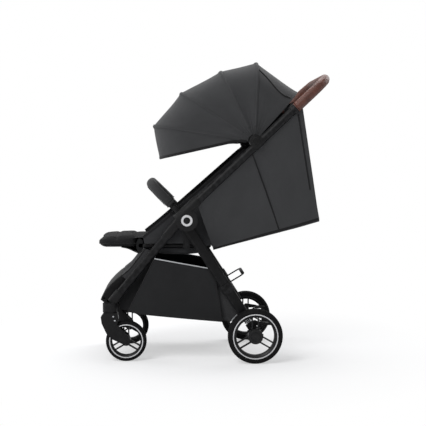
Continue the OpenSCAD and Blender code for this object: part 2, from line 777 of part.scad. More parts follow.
module hood_panel(k) {
    rear = k == 0;
    turn_a = rear ? hood_rear_turn : hood_turns[k - 1];
    turn_b = hood_turns[k];
    reach_a = rear ? hood_rear_reach : hood_reaches[k - 1];
    reach_b = hood_reaches[k];
    sag = rear ? 2.5 * hood_sag : hood_sag;
    steps = 6;
    half = hood_half + 0.5;
    function grid(skin) = [for (i = [0 : steps]) let (t = i / steps,
        turn = turn_a + 0.15 + (turn_b - turn_a - 0.3) * t,
        reach = reach_a + (reach_b - reach_a) * t - sag * sin(180 * t))
        hood_section(turn, reach + 0.5 + skin, half + skin, bow_bend)];
    color(fabric_grey) sheet(grid(fabric_t), grid(0));
}

// ---------- front casters ----------

module fork(side) {
    x = swivel_x;
    top = socket_floor - body_gap;
    r = front_wheel_d / 2;
    cheek = front_wheel_w / 2 + 2.5;
    color(plastic_black) on_side(side) {
        difference() {
            union() {
                side_plate([[x - 25, top], [x + 23, top], [x + 27, top - 22], [x + 22, top - 41],
                    [x + 34, top - 54], [x + 63, top - 82], [front_axle[0] + 15, r + 3],
                    [front_axle[0] - 12, r - 9], [x + 5, top - 92], [x - 16, top - 71],
                    [x - 32, top - 36], [x - 35, top - 14]],
                    front_wheel_y - cheek - 4.5, front_wheel_y + cheek + 4.5);
                across(front_axle, front_wheel_y - cheek - 4.5, front_wheel_y + cheek + 4.5, 15);
            }
            across(front_axle, front_wheel_y - cheek, front_wheel_y + cheek, r + 4);
        }
        across(front_axle, front_wheel_y - cheek - 6, front_wheel_y + cheek + 6, front_axle_r);
        translate([x, front_wheel_y, top - 1]) cylinder(r = swivel_r, h = 23);
    }
}

// ---------- wheels ----------

// a spoked rim about the Y axis, its middle at y = 0
module rim(r_out, width, bore, hub_r, hub_half, spoke_gap) {
    lip = 10.5 * r_out / 77;
    difference() {
        union() {
            rotate([90, 0, 0]) rotate_extrude()
                polygon([[r_out - lip, -width * 0.3], [r_out - lip, width * 0.3], [r_out - 3, width * 0.42],
                    [r_out, width * 0.42], [r_out, -width * 0.42], [r_out - 3, -width * 0.42]]);
            rotate([90, 0, 0]) cylinder(r = hub_r, h = 2 * hub_half, center = true);
            for (a = [90, 210, 330], s = [-1, 1]) rotate([0, -a, 0])
                translate([0, -5, s * spoke_gap / 2 - 2.3]) cube([r_out - lip + 1, 10, 4.6]);
        }
        rotate([90, 0, 0]) cylinder(r = bore, h = 4 * hub_half, center = true);
    }
}

module tyre(r_in, r_out, width) {
    w = width / 2;
    crown = min(w - 1, (r_out - r_in) * 0.75);
    rotate([90, 0, 0]) rotate_extrude() difference() {
        union() {
            translate([r_in, -w]) square([r_out - crown - r_in, width]);
            translate([r_in, -w + crown]) square([r_out - r_in, width - 2 * crown]);
            for (s = [-1, 1]) translate([r_out - crown, s * (w - crown)]) circle(crown);
        }
        translate([0, -width]) square([r_in, 2 * width]);
    }
}

rear_rim_r = rear_wheel_d * 0.4;
front_rim_r = front_wheel_d * 0.4;

module rear_rim(side) {
    color(plastic_black) on_side(side) {
        translate([rear_axle[0], rear_wheel_y, rear_axle[1]])
            rim(rear_rim_r, rear_wheel_w, axle_r + run, 26, rear_wheel_w / 2 - 0.5, 21);
        // notched ring for the brake
        difference() {
            across(rear_axle, star_in, rear_wheel_y - rear_wheel_w / 2 + 1, star_r);
            across(rear_axle, star_in - 1, rear_wheel_y, axle_r + run);
            for (i = [0 : star_notches - 1]) translate([rear_axle[0], star_in - 1, rear_axle[1]])
                rotate([0, -pedal_turn - 360 / star_notches * i, 0]) translate([24, 0, -3.6]) cube([10, 10, 7.2]);
        }
    }
}

module front_rim(side) {
    color(plastic_black) on_side(side) translate([front_axle[0], front_wheel_y, front_axle[1]])
        rim(front_rim_r, front_wheel_w, front_axle_r + run, 16, front_wheel_w / 2 + 1, 17);
}

module rear_tyre(side) {
    color(rubber_black) on_side(side) translate([rear_axle[0], rear_wheel_y, rear_axle[1]])
        tyre(rear_rim_r + snug, rear_wheel_d / 2, rear_wheel_w);
}

module front_tyre(side) {
    color(rubber_black) on_side(side) translate([front_axle[0], front_wheel_y, front_axle[1]])
        tyre(front_rim_r + snug, front_wheel_d / 2, front_wheel_w);
}

front_leg("left");  // front_leg_left
front_leg("right");  // front_leg_right
hub_plates();
seat_frame();
seat_board();
seat_pad();
foot_plate();
foot_apron();
basket();
lap_straps();
buckle();
buckle_button();
seat_wings();
caster_sockets();
rear_leg("left");  // rear_leg_left
rear_leg("right");  // rear_leg_right
rear_crossbar();
suspension_springs();
axle_carrier("left");  // axle_carrier_left
axle_carrier("right");  // axle_carrier_right
fold_lever();
brake_pedal("left");  // brake_pedal_left
brake_pedal("right");  // brake_pedal_right
push_arm("left");  // push_arm_left
push_arm("right");  // push_arm_right
handle_bar();
handle_cover();
hub_covers();
fold_pins();
hood_clips();
side_curtains();
rear_curtain();
backrest_frame();
backrest_pad();
shoulder_straps();
recline_strap();
calf_board();
calf_pad();
bumper_bar();
bumper_cover();
bow(0);  // bow_rear
bow(1);  // bow_upper
bow(2);  // bow_middle
bow(3);  // bow_front
bow(4);  // bow_visor
hood_panel(0);  // hood_panel_rear
hood_panel(1);  // hood_panel_upper
hood_panel(2);  // hood_panel_middle
hood_panel(3);  // hood_panel_front
hood_panel(4);  // hood_panel_visor
fork("left");  // fork_left
fork("right");  // fork_right
front_rim("left");  // front_rim_left
front_rim("right");  // front_rim_right
front_tyre("left");  // front_tyre_left
front_tyre("right");  // front_tyre_right
rear_rim("left");  // rear_rim_left
rear_rim("right");  // rear_rim_right
rear_tyre("left");  // rear_tyre_left
rear_tyre("right");  // rear_tyre_right
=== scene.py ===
"""Dressed model of a folding baby stroller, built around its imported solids.

Everything is in metres in the solids' own frame: the stroller faces -X, +Z is up and its left side is -Y.
"""

import json
import logging
import math
from collections.abc import Callable, Iterator, Sequence
from contextlib import contextmanager
from dataclasses import dataclass, field
from enum import Enum

import bmesh
import bpy
from mathutils import Matrix, Vector, noise
from mathutils.bvhtree import BVHTree

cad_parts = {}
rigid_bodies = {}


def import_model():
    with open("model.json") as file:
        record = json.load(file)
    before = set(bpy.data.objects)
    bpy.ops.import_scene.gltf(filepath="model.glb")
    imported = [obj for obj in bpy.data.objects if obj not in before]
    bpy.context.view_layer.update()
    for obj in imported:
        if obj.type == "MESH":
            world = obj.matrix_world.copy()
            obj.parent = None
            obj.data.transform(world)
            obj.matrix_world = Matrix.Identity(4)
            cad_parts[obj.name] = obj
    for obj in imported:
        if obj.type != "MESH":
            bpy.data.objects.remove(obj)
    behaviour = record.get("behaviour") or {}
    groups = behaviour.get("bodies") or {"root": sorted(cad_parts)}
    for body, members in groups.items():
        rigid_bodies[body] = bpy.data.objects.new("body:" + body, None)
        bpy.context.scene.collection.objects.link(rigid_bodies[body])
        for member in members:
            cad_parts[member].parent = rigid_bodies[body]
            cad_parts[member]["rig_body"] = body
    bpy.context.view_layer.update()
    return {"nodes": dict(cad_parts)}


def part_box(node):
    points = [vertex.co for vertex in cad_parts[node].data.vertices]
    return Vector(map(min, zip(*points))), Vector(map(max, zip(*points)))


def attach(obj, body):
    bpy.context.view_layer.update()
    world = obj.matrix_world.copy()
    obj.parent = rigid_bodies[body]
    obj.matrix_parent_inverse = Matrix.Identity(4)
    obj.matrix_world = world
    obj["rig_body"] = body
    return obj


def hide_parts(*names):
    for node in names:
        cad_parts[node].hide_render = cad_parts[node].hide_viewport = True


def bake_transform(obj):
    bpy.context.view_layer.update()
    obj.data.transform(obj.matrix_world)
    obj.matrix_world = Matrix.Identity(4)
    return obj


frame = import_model()
log = logging.getLogger("stroller")

Colour = tuple[float, float, float]
Grid = list[list[Vector]]
Profile = Sequence[tuple[float, float]]
Piece = bpy.types.Object
Socket = bpy.types.NodeSocket
ShaderNode = bpy.types.Node
ACROSS = Vector((0, 1, 0))
UP = Vector((0, 0, 1))


class Side(Enum):
    """The two sides of the stroller, with the sign of their Y."""

    LEFT = -1
    RIGHT = 1

    @property
    def word(self) -> str:
        """Side's name as the solids use it."""
        return self.name.lower()


class Coords(Enum):
    """Where a finish takes the place of its pattern from."""

    OBJECT = "Object"
    SURFACE = "UV"


@dataclass(frozen=True)
class Plan:
    """Lines of the frame that the pieces are drawn on."""

    hub: tuple[float, float] = (-0.100, 0.498)
    arm_slope: float = math.radians(43.2)
    arm_rise: float = 0.025
    arm_y: float = 0.229
    grip_from: float = 0.538
    handle_reach: float = 0.689
    handle_bend: float = 0.080
    back_start: tuple[float, float] = (-0.004, 0.400)
    back_slope: float = math.radians(16.1)
    bumper_turn: float = math.radians(135)

    def arm(self, along: float, up: float = 0.0, y: float = 0.0) -> Vector:
        """Find a point from its distance along the push arm, its height square to it and its place across."""
        s, c = math.sin(self.arm_slope), math.cos(self.arm_slope)
        up += self.arm_rise
        return Vector((self.hub[0] + along * c - up * s, y, self.hub[1] + along * s + up * c))

    def back(self, a: float, b: float = 0.0, y: float = 0.0) -> Vector:
        """Find a point from its distance up the backrest, that before its rear face and its place across."""
        s, c = math.sin(self.back_slope), math.cos(self.back_slope)
        return Vector((self.back_start[0] + a * c - b * s, y, self.back_start[1] + a * s + b * c))

    @property
    def hood_pivot(self) -> Vector:
        """Middle of the hood's turning axis."""
        return self.arm(0.359, 0.011)

    def bumper(self, out: float, y: float = 0.0, up: float = 0.0) -> Vector:
        """Find a point from its distance to the fold axis in the bumper bar's plane, place across and height."""
        s, c = math.sin(self.bumper_turn), math.cos(self.bumper_turn)
        return Vector((self.hub[0] + out * c - up * s, y, self.hub[1] + out * s + up * c))


PLAN = Plan()


# ---------- shader graphs ----------


class Graph:
    """A node tree with short calls to add and join its nodes."""

    def __init__(self, tree: bpy.types.NodeTree) -> None:
        """Start on an emptied tree."""
        self.tree = tree
        tree.nodes.clear()

    def node(self, kind: str, feeds: dict[str | int, object] | None = None, **settings: object) -> ShaderNode:
        """Add a node and join its inputs.

        Args:
            kind: The node's type name.
            feeds: What goes into each input, a socket or a plain value.
            **settings: Values of the node itself.

        Returns:
            The new node.
        """
        made = self.tree.nodes.new(kind)
        for key, value in settings.items():
            setattr(made, key, value)
        for key, value in (feeds or {}).items():
            if isinstance(value, Socket):
                self.tree.links.new(value, made.inputs[key])
            else:
                made.inputs[key].default_value = value
        return made

    def math(self, operation: str, *values: object, clamp: bool = False) -> Socket:
        """Add a Math node and return its output."""
        feeds = dict(enumerate(values))
        return self.node("ShaderNodeMath", feeds, operation=operation, use_clamp=clamp).outputs[0]

    def mix(self, factor: object, a: object, b: object) -> Socket:
        """Mix two colours and return the result."""
        feeds = {0: factor, 6: four(a), 7: four(b)}
        return self.node("ShaderNodeMix", feeds, data_type="RGBA").outputs[2]

    def between(self, value: object, low: float, high: float, to_low: float, to_high: float) -> Socket:
        """Map a value's range onto another and return the result."""
        feeds = dict(enumerate((value, low, high, to_low, to_high)))
        return self.node("ShaderNodeMapRange", feeds).outputs[0]

    def noise(self, coords: object, scale: float, detail: float = 3.0, roughness: float = 0.55) -> Socket:
        """Add a noise pattern and return its value."""
        feeds = {"Vector": coords, "Scale": scale, "Detail": detail, "Roughness": roughness}
        return self.node("ShaderNodeTexNoise", feeds).outputs["Fac"]

    def bump(self, height: object, distance: float, strength: float, normal: object = None) -> Socket:
        """Turn a height into a normal and return it."""
        feeds = {"Height": height, "Distance": distance, "Strength": strength}
        if normal is not None:
            feeds["Normal"] = normal
        return self.node("ShaderNodeBump", feeds).outputs[0]

    def effect(self, tree: bpy.types.NodeTree, **feeds: object) -> ShaderNode:
        """Place a shared node group and join its named inputs."""
        placed = self.node("ShaderNodeGroup", node_tree=tree)
        for key, value in feeds.items():
            socket = placed.inputs[key.capitalize()]
            if isinstance(value, Socket):
                self.tree.links.new(value, socket)
            else:
                socket.default_value = value
        return placed


def four(value: object) -> object:
    """Give a plain colour its alpha, and pass a socket through."""
    return (*value, 1.0) if isinstance(value, tuple) and len(value) == 3 else value


def new_group(name: str, inputs: dict[str, str], outputs: Sequence[str]) -> tuple[Graph, ShaderNode]:
    """Start a shader node group.

    Args:
        name: The group's name.
        inputs: Each input's name and kind, Vector or Float.
        outputs: The names of its outputs, all plain values.

    Returns:
        The group's graph and its input node.
    """
    tree = bpy.data.node_groups.new(name, "ShaderNodeTree")
    for key, kind in inputs.items():
        tree.interface.new_socket(key, in_out="INPUT", socket_type=f"NodeSocket{kind}")
    for key in outputs:
        tree.interface.new_socket(key, in_out="OUTPUT", socket_type="NodeSocketFloat")
    graph = Graph(tree)
    return graph, graph.node("NodeGroupInput")


class Effects:
    """The shader node groups that several finishes share."""

    def __init__(self) -> None:
        """Build each group once."""
        self.weave = self._weave()
        self.grain = self._grain()
        self.wear = self._wear()

    def _weave(self) -> bpy.types.NodeTree:
        """Build a plain weave: Height of its threads, and a Shade that is painted shade, darker in the hollows
        between threads, varied at random from thread to thread.
        """
        graph, given = new_group("Plain weave", {"Vector": "Vector", "Pitch": "Float"}, ("Height", "Shade"))
        size = graph.math("DIVIDE", 1.0, given.outputs["Pitch"])
        scaled = graph.node("ShaderNodeVectorMath", {0: given.outputs["Vector"], 3: size}, operation="SCALE")
        axes = graph.node("ShaderNodeSeparateXYZ", {0: scaled.outputs[0]}).outputs
        across = graph.math("MULTIPLY", graph.math("ADD", axes[0], axes[2]), math.pi)
        along = graph.math("MULTIPLY", graph.math("ADD", axes[1], axes[2]), math.pi)
        warp, weft = graph.math("SINE", across), graph.math("SINE", along)
        over = graph.math("MULTIPLY_ADD", graph.math("MULTIPLY", warp, weft), 2.5, 0.5, clamp=True)
        tall = graph.math("POWER", graph.math("ABSOLUTE", warp), 0.6)
        wide = graph.math("POWER", graph.math("ABSOLUTE", weft), 0.6)
        first = graph.math("MULTIPLY", tall, over)
        second = graph.math("MULTIPLY", wide, graph.math("SUBTRACT", 1.0, over))
        height = graph.math("ADD", first, second)
        slub = graph.noise(given.outputs["Vector"], 260.0, 2.0, 0.5)
        # Painted shade: the thread height darkens the hollows, times a random slub tone.
        shade = graph.math("MULTIPLY", height, graph.between(slub, 0.3, 0.7, 0.75, 1.15))
        graph.node("NodeGroupOutput", {"Height": height, "Shade": shade})
        return graph.tree

    def _grain(self) -> bpy.types.NodeTree:
        """Build the fine grain of moulded plastic: its Height, and a slow Mottle."""
        inputs = {"Vector": "Vector", "Scale": "Float"}
        graph, given = new_group("Moulded grain", inputs, ("Height", "Mottle"))
        place, scale = given.outputs["Vector"], given.outputs["Scale"]
        fine = graph.noise(place, scale, 2.0, 0.5)
        cells = graph.node("ShaderNodeTexVoronoi", {"Vector": place, "Scale": scale}).outputs["Distance"]
        height = graph.math("ADD", graph.math("MULTIPLY", fine, 0.6), graph.math("MULTIPLY", cells, 0.5))
        mottle = graph.noise(place, 22.0, 5.0, 0.5)
        graph.node("NodeGroupOutput", {"Height": height, "Mottle": mottle})
        return graph.tree

    def _wear(self) -> bpy.types.NodeTree:
        """Build a Mask of rubbed edges, broken up by noise, and of faint Dust."""
        graph, given = new_group("Edge wear", {"Vector": "Vector", "Amount": "Float"}, ("Mask", "Dust"))
        place = given.outputs["Vector"]
        edge = graph.between(graph.node("ShaderNodeNewGeometry").outputs["Pointiness"], 0.52, 0.6, 0.0, 1.0)
        patch = graph.noise(place, 70.0, 4.0, 0.5)
        broken = graph.between(patch, 0.42, 0.62, 0.0, 1.0)
        mask = graph.math("MULTIPLY", graph.math("MULTIPLY", edge, broken), given.outputs["Amount"])
        film = graph.noise(place, 9.0, 6.0, 0.5)
        graph.node("NodeGroupOutput", {"Mask": mask, "Dust": graph.between(film, 0.45, 0.75, 0.0, 1.0)})
        return graph.tree


EFFECTS = Effects()


# ---------- finishes ----------


@dataclass(frozen=True)
class Finish:
    """A surface finish: plain values on the shader, and a pattern that each kind adds."""

    name: str
    slot: str
    colour: Colour
    roughness: float = 0.5
    specular: float = 0.3
    metallic: float = 0.0
    coords: Coords = Coords.OBJECT

    def material(self) -> bpy.types.Material:
        """Return this finish as a material, building it the first time."""
        known = bpy.data.materials.get(self.name)
        if known:
            return known
        made = bpy.data.materials.new(self.name)
        made.use_nodes = True
        graph = Graph(made.node_tree)
        place = graph.node("ShaderNodeTexCoord").outputs[self.coords.value]
        shader = graph.node("ShaderNodeBsdfPrincipled", {"Specular IOR Level": self.specular})
        shader.inputs["Metallic"].default_value = self.metallic
        self.set_shader(shader)
        for key, value in self.pattern(graph, place).items():
            graph.tree.links.new(value, shader.inputs[key])
        graph.node("ShaderNodeOutputMaterial", {"Surface": shader.outputs[0]})
        made.diffuse_color = (*self.colour, 1.0)
        return made

    def set_shader(self, shader: ShaderNode) -> None:
        """Set plain values that this kind of finish needs on the shader."""

    def pattern(self, graph: Graph, place: Socket) -> dict[str, Socket]:
        """Lay out the pattern of this finish.

        Args:
            graph: The material's graph.
            place: The coordinates of the pattern.

        Returns:
            What feeds each varying input of the shader.
        """
        raise NotImplementedError

    def tone(self, share: float) -> Colour:
        """Return this finish's colour made lighter or darker."""
        return tuple(min(1.0, c * share) for c in self.colour)

    def patchy(self, graph: Graph, pattern: Socket, below: float, above: float) -> Socket:
        """Return this finish's roughness, varied by a pattern between two distances from its middle."""
        return graph.between(pattern, 0.3, 0.7, self.roughness - below, self.roughness + above)


@dataclass(frozen=True)
class Cloth(Finish):
    """Woven cloth with soft crumples."""

    coords: Coords = Coords.SURFACE
    pitch: float = 0.0011
    relief: float = 0.5
    crumple: float = 0.25
    sheen: float = 0.12
    contrast: float = 0.22

    def set_shader(self, shader: ShaderNode) -> None:
        """Give the cloth its sheen."""
        shader.inputs["Sheen Weight"].default_value = self.sheen
        shader.inputs["Sheen Roughness"].default_value = 0.5

    def pattern(self, graph: Graph, place: Socket) -> dict[str, Socket]:
        """Lay threads, with painted shade in the hollows between them, over slow crumples."""
        weave = graph.effect(EFFECTS.weave, vector=place, pitch=self.pitch)
        body = graph.noise(place, 7.0, 5.0)
        # The weave's Shade paints shade into the hollows between threads.
        thread = graph.mix(weave.outputs["Shade"], self.tone(1 - self.contrast), self.tone(1 + self.contrast))
        colour = graph.mix(graph.between(body, 0.35, 0.7, 0.0, 0.35), thread, self.tone(0.72))
        folds = graph.bump(graph.noise(place, 16.0, 2.0), 0.006, self.crumple)
        return {"Base Color": colour, "Roughness": self.patchy(graph, body, 0.06, 0.05),
                "Normal": graph.bump(weave.outputs["Height"], 0.0004, self.relief, folds)}


@dataclass(frozen=True)
class Moulded(Finish):
    """Moulded plastic with a fine grain and rubbed edges."""

    grain: float = 900.0
    relief: float = 0.2
    worn: float = 0.35

    def pattern(self, graph: Graph, place: Socket) -> dict[str, Socket]:
        """Lay the grain, a slow mottle and paler edges."""
        grain = graph.effect(EFFECTS.grain, vector=place, scale=self.grain)
        wear = graph.effect(EFFECTS.wear, vector=place, amount=self.worn)
        mottled = graph.mix(grain.outputs["Mottle"], self.tone(0.85), self.tone(1.15))
        dusty = graph.mix(graph.math("MULTIPLY", wear.outputs["Dust"], 0.05), mottled, (0.12, 0.12, 0.12))
        colour = graph.mix(wear.outputs["Mask"], dusty, self.tone(3.2))
        return {"Base Color": colour, "Roughness": self.patchy(graph, grain.outputs["Mottle"], 0.07, 0.07),
                "Normal": graph.bump(grain.outputs["Height"], 0.0003, self.relief)}


@dataclass(frozen=True)
class Anodised(Finish):
    """Satin black aluminium with faint lines along it."""

    stretch: tuple[float, float, float] = (30.0, 900.0, 30.0)

    def pattern(self, graph: Graph, place: Socket) -> dict[str, Socket]:
        """Lay drawing lines, blotches of oxide and rubbed edges."""
        drawn = graph.node("ShaderNodeMapping", {"Vector": place, "Scale": self.stretch}).outputs[0]
        lines = graph.noise(drawn, 1.0, 2.0)
        wear = graph.effect(EFFECTS.wear, vector=place, amount=0.5)
        oxide = graph.mix(graph.noise(place, 35.0, 4.0), self.tone(0.8), self.tone(1.25))
        colour = graph.mix(wear.outputs["Mask"], oxide, self.tone(5.0))
        fine = graph.noise(place, 2200.0, 1.0)
        return {"Base Color": colour, "Roughness": self.patchy(graph, lines, 0.05, 0.08),
                "Normal": graph.bump(fine, 0.0001, 0.12)}


@dataclass(frozen=True)
class Bright(Finish):
    """Zinc-plated or polished metal with fine scratches."""

    def pattern(self, graph: Graph, place: Socket) -> dict[str, Socket]:
        """Lay scratches and a slow tarnish."""
        tarnish = graph.noise(place, 60.0, 5.0)
        drawn = graph.node("ShaderNodeMapping", {"Vector": place, "Scale": (120.0, 1600.0, 120.0)}).outputs[0]
        scratch = graph.noise(drawn, 1.0, 2.0)
        colour = graph.mix(tarnish, self.tone(0.78), self.tone(1.08))
        return {"Base Color": colour, "Roughness": self.patchy(graph, scratch, 0.06, 0.12),
                "Normal": graph.bump(scratch, 0.0001, 0.1)}


@dataclass(frozen=True)
class Leather(Finish):
    """Stitched leather: pebbled grain, pull-up marks and worn high spots."""

    pebble: float = 520.0

    def set_shader(self, shader: ShaderNode) -> None:
        """Give the leather a thin wax coat."""
        shader.inputs["Coat Weight"].default_value = 0.12
        shader.inputs["Coat Roughness"].default_value = 0.4

    def pattern(self, graph: Graph, place: Socket) -> dict[str, Socket]:
        """Lay pebbles with painted shade in the grooves between them, creases and patchy colour."""
        feeds = {"Vector": place, "Scale": self.pebble}
        cells = graph.node("ShaderNodeTexVoronoi", feeds, feature="DISTANCE_TO_EDGE").outputs["Distance"]
        pebble = graph.between(cells, 0.0, 0.25, 0.0, 1.0)
        patch = graph.noise(place, 38.0, 6.0, 0.65)
        wear = graph.effect(EFFECTS.wear, vector=place, amount=0.4)
        dyed = graph.mix(graph.between(patch, 0.35, 0.68, 0.0, 1.0), self.tone(0.62), self.tone(1.3))
        # Painted shade: the colour darkens towards the pebbles' edges, in the grooves between them.
        pebble_groove_shade = graph.mix(graph.between(pebble, 0.0, 0.6, 0.35, 0.0), dyed, self.tone(0.35))
        colour = graph.mix(wear.outputs["Mask"], pebble_groove_shade, self.tone(1.9))
        creases = graph.bump(graph.noise(place, 130.0, 4.0), 0.001, 0.3)
        return {"Base Color": colour, "Roughness": self.patchy(graph, patch, -0.08, -0.08),
                "Normal": graph.bump(pebble, 0.0004, 0.4, creases)}


@dataclass(frozen=True)
class Foam(Finish):
    """Closed-cell tyre foam with moulding marks."""

    def pattern(self, graph: Graph, place: Socket) -> dict[str, Socket]:
        """Lay fine cells and a dusty bloom."""
        grain = graph.effect(EFFECTS.grain, vector=place, scale=1300.0)
        wear = graph.effect(EFFECTS.wear, vector=place, amount=0.3)
        bloom = graph.math("MULTIPLY", wear.outputs["Dust"], 0.14)
        mottled = graph.mix(grain.outputs["Mottle"], self.tone(0.8), self.tone(1.2))
        colour = graph.mix(bloom, mottled, (0.06, 0.058, 0.055))
        return {"Base Color": colour, "Roughness": self.patchy(graph, grain.outputs["Mottle"], 0.08, 0.06),
                "Normal": graph.bump(grain.outputs["Height"], 0.0004, 0.3)}


HOOD_CLOTH = Cloth("hood_cloth", "fabric", (0.041, 0.0415, 0.043), 0.86, 0.2)
SEAT_CLOTH = Cloth("seat_cloth", "fabric", (0.0125, 0.0127, 0.0133), 0.88, 0.12, coords=Coords.OBJECT,
                   pitch=0.0014, contrast=0.3, sheen=0.05)
WING_CLOTH = Cloth("wing_cloth", "fabric", (0.026, 0.0265, 0.028), 0.88, 0.2)
BASKET_CLOTH = Cloth("basket_cloth", "mesh_fabric", (0.0125, 0.0127, 0.0134), 0.9, 0.2, pitch=0.0022,
                     relief=0.7, contrast=0.45)
NET_CLOTH = Cloth("net_cloth", "mesh_fabric", (0.038, 0.038, 0.0395), 0.9, 0.2, pitch=0.003, relief=1.0,
                  contrast=0.6)
TAPE = Cloth("binding_tape", "webbing", (0.008, 0.008, 0.0085), 0.8, 0.2, pitch=0.0016, relief=0.7)
WEBBING = Cloth("harness_webbing", "webbing", (0.012, 0.012, 0.013), 0.75, 0.25, pitch=0.0019, relief=0.9,
                contrast=0.35)
THREAD = Cloth("sewing_thread", "webbing", (0.03, 0.03, 0.031), 0.7, 0.3, coords=Coords.OBJECT, pitch=0.0006)
SLEEVE = Cloth("bumper_sleeve", "fabric", (0.029, 0.0292, 0.030), 0.8, 0.25, pitch=0.0012)
FRAME = Anodised("satin_black_frame", "frame", (0.0048, 0.0048, 0.0051), 0.44, 0.14)
PLASTIC = Moulded("moulded_plastic", "plastic", (0.0072, 0.0072, 0.0075), 0.5, 0.16)
RIM = Moulded("moulded_rim", "rim", (0.0075, 0.0075, 0.0079), 0.42, 0.24, grain=1400.0, relief=0.12)
STEEL = Bright("bright_zinc", "steel", (0.58, 0.59, 0.61), 0.28, 0.5, 1.0)
SATIN = Bright("satin_silver", "steel", (0.72, 0.72, 0.73), 0.36, 0.5, 0.55)
LEATHER = Leather("brown_leather", "leather", (0.118, 0.042, 0.029), 0.5, 0.3)
LEATHER_THREAD = Cloth("leather_thread", "leather", (0.16, 0.075, 0.05), 0.7, 0.3, coords=Coords.OBJECT,
                       pitch=0.0006)
FOAM = Foam("tyre_foam", "rubber", (0.0075, 0.0075, 0.0078), 0.8, 0.09)
REFLECTIVE = Cloth("reflective_piping", "mesh_fabric", (0.48, 0.49, 0.5), 0.45, 0.5, pitch=0.001, relief=0.3,
                   contrast=0.12)


# ---------- workbench ----------


def lerp(a: float, b: float, t: float) -> float:
    """Return the value a share of the way from one to another."""
    return a + (b - a) * t


def flat(*marks: tuple[float, float]) -> list[Vector]:
    """Place points given as X and Z in the stroller's middle plane."""
    return [Vector((x, 0, z)) for x, z in marks]


def clear_selection() -> None:
    """Leave edit mode if it is on, and select nothing."""
    if bpy.context.object and bpy.context.object.mode != "OBJECT":
        bpy.ops.object.mode_set(mode="OBJECT")
    bpy.ops.object.select_all(action="DESELECT")


def hold(obj: Piece) -> Piece:
    """Select one object alone, make it active and return it."""
    clear_selection()
    obj.select_set(True)
    bpy.context.view_layer.objects.active = obj
    return obj


@contextmanager
def editing(obj: Piece, mode: str = "FACE") -> Iterator[bmesh.types.BMesh]:
    """Work on an object in edit mode with nothing selected at first.

    Args:
        obj: The object.
        mode: What is selected there: VERT, EDGE or FACE.

    Yields:
        The mesh being edited.
    """
    hold(obj)
    bpy.ops.object.mode_set(mode="EDIT")
    bpy.ops.mesh.select_mode(type=mode)
    bpy.ops.mesh.select_all(action="DESELECT")
    yield bmesh.from_edit_mesh(obj.data)
    bpy.ops.object.mode_set(mode="OBJECT")


def pick(obj: Piece, mesh: bmesh.types.BMesh, test: Callable[[object], bool], kind: str = "faces") -> None:
    """Select the faces or edges that pass a test.

    Args:
        obj: The object in edit mode.
        mesh: Its mesh.
        test: Says whether a face or edge is wanted.
        kind: Either faces or edges.
    """
    bpy.ops.mesh.select_all(action="DESELECT")
    for part in [part for part in getattr(mesh, kind) if test(part)]:
        part.select_set(True)
    bmesh.update_edit_mesh(obj.data)


def named(obj: Piece, name: str) -> Piece:
    """Name an object and its mesh, and return the object."""
    obj.name = name
    obj.data.name = name
    return obj


def settle(obj: Piece) -> Piece:
    """Put an object's place, turn and scale into its mesh and return it."""
    hold(obj)
    bpy.ops.object.transform_apply(location=True, rotation=True, scale=True)
    return obj


def apply(obj: Piece, kind: str, **settings: object) -> Piece:
    """Add a modifier, apply it and return the object."""
    hold(obj)
    modifier = obj.modifiers.new(kind.lower(), kind)
    for key, value in settings.items():
        setattr(modifier, key, value)
    bpy.ops.object.modifier_apply(modifier=modifier.name)
    return obj


def rounder(obj: Piece, **settings: object) -> Piece:
    """Subdivide an object once and return it."""
    return apply(obj, "SUBSURF", levels=1, render_levels=1, **settings)


def smooth(obj: Piece, angle: float = 60.0) -> Piece:
    """Smooth an object's shading up to an angle in degrees and return it."""
    hold(obj)
    bpy.ops.object.shade_smooth_by_angle(angle=math.radians(angle))
    return obj


def outward(obj: Piece, merge: float = 1e-5) -> Piece:
    """Merge an object's double points, turn its faces outwards and return it."""
    with editing(obj, "VERT"):
        bpy.ops.mesh.select_all(action="SELECT")
        bpy.ops.mesh.remove_doubles(threshold=merge)
        bpy.ops.mesh.normals_make_consistent(inside=False)
    return obj


def joined(name: str, parts: Sequence[Piece]) -> Piece:
    """Join objects into one piece and return it."""
    clear_selection()
    for part in parts:
        part.select_set(True)
    bpy.context.view_layer.objects.active = parts[0]
    if len(parts) > 1:
        bpy.ops.object.join()
    return named(parts[0], name)


def dress(obj: Piece, finish: Finish, body: str = "", nodes: Sequence[str] = ()) -> Piece:
    """Give a piece its finish, its body and the solids that it stands for.

    Args:
        obj: The piece.
        finish: Its finish.
        body: The body that it rides on, or nothing.
        nodes: The solids that it replaces.

    Returns:
        The piece.
    """
    obj.data.materials.clear()
    obj.data.materials.append(finish.material())
    if body:
        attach(obj, body)
    if nodes:
        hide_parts(*nodes)
    return obj


def from_faces(name: str, points: Sequence[Vector], faces: Sequence[Sequence[int]],
               marks: Sequence[tuple[float, float]]) -> Piece:
    """Make a mesh object whose map of the surface is in metres.

    Args:
        name: Name of the piece.
        points: Its points.
        faces: Its faces, by number of point.
        marks: Where each point lies on the flat cloth.

    Returns:
        The new object.
    """
    data = bpy.data.meshes.new(name)
    data.from_pydata([tuple(p) for p in points], [], faces)
    layer = data.uv_layers.new(name="Surface")
    for loop in data.loops:
        layer.data[loop.index].uv = marks[loop.vertex_index]
    data.validate()
    obj = bpy.data.objects.new(name, data)
    bpy.context.scene.collection.objects.link(obj)
    return obj


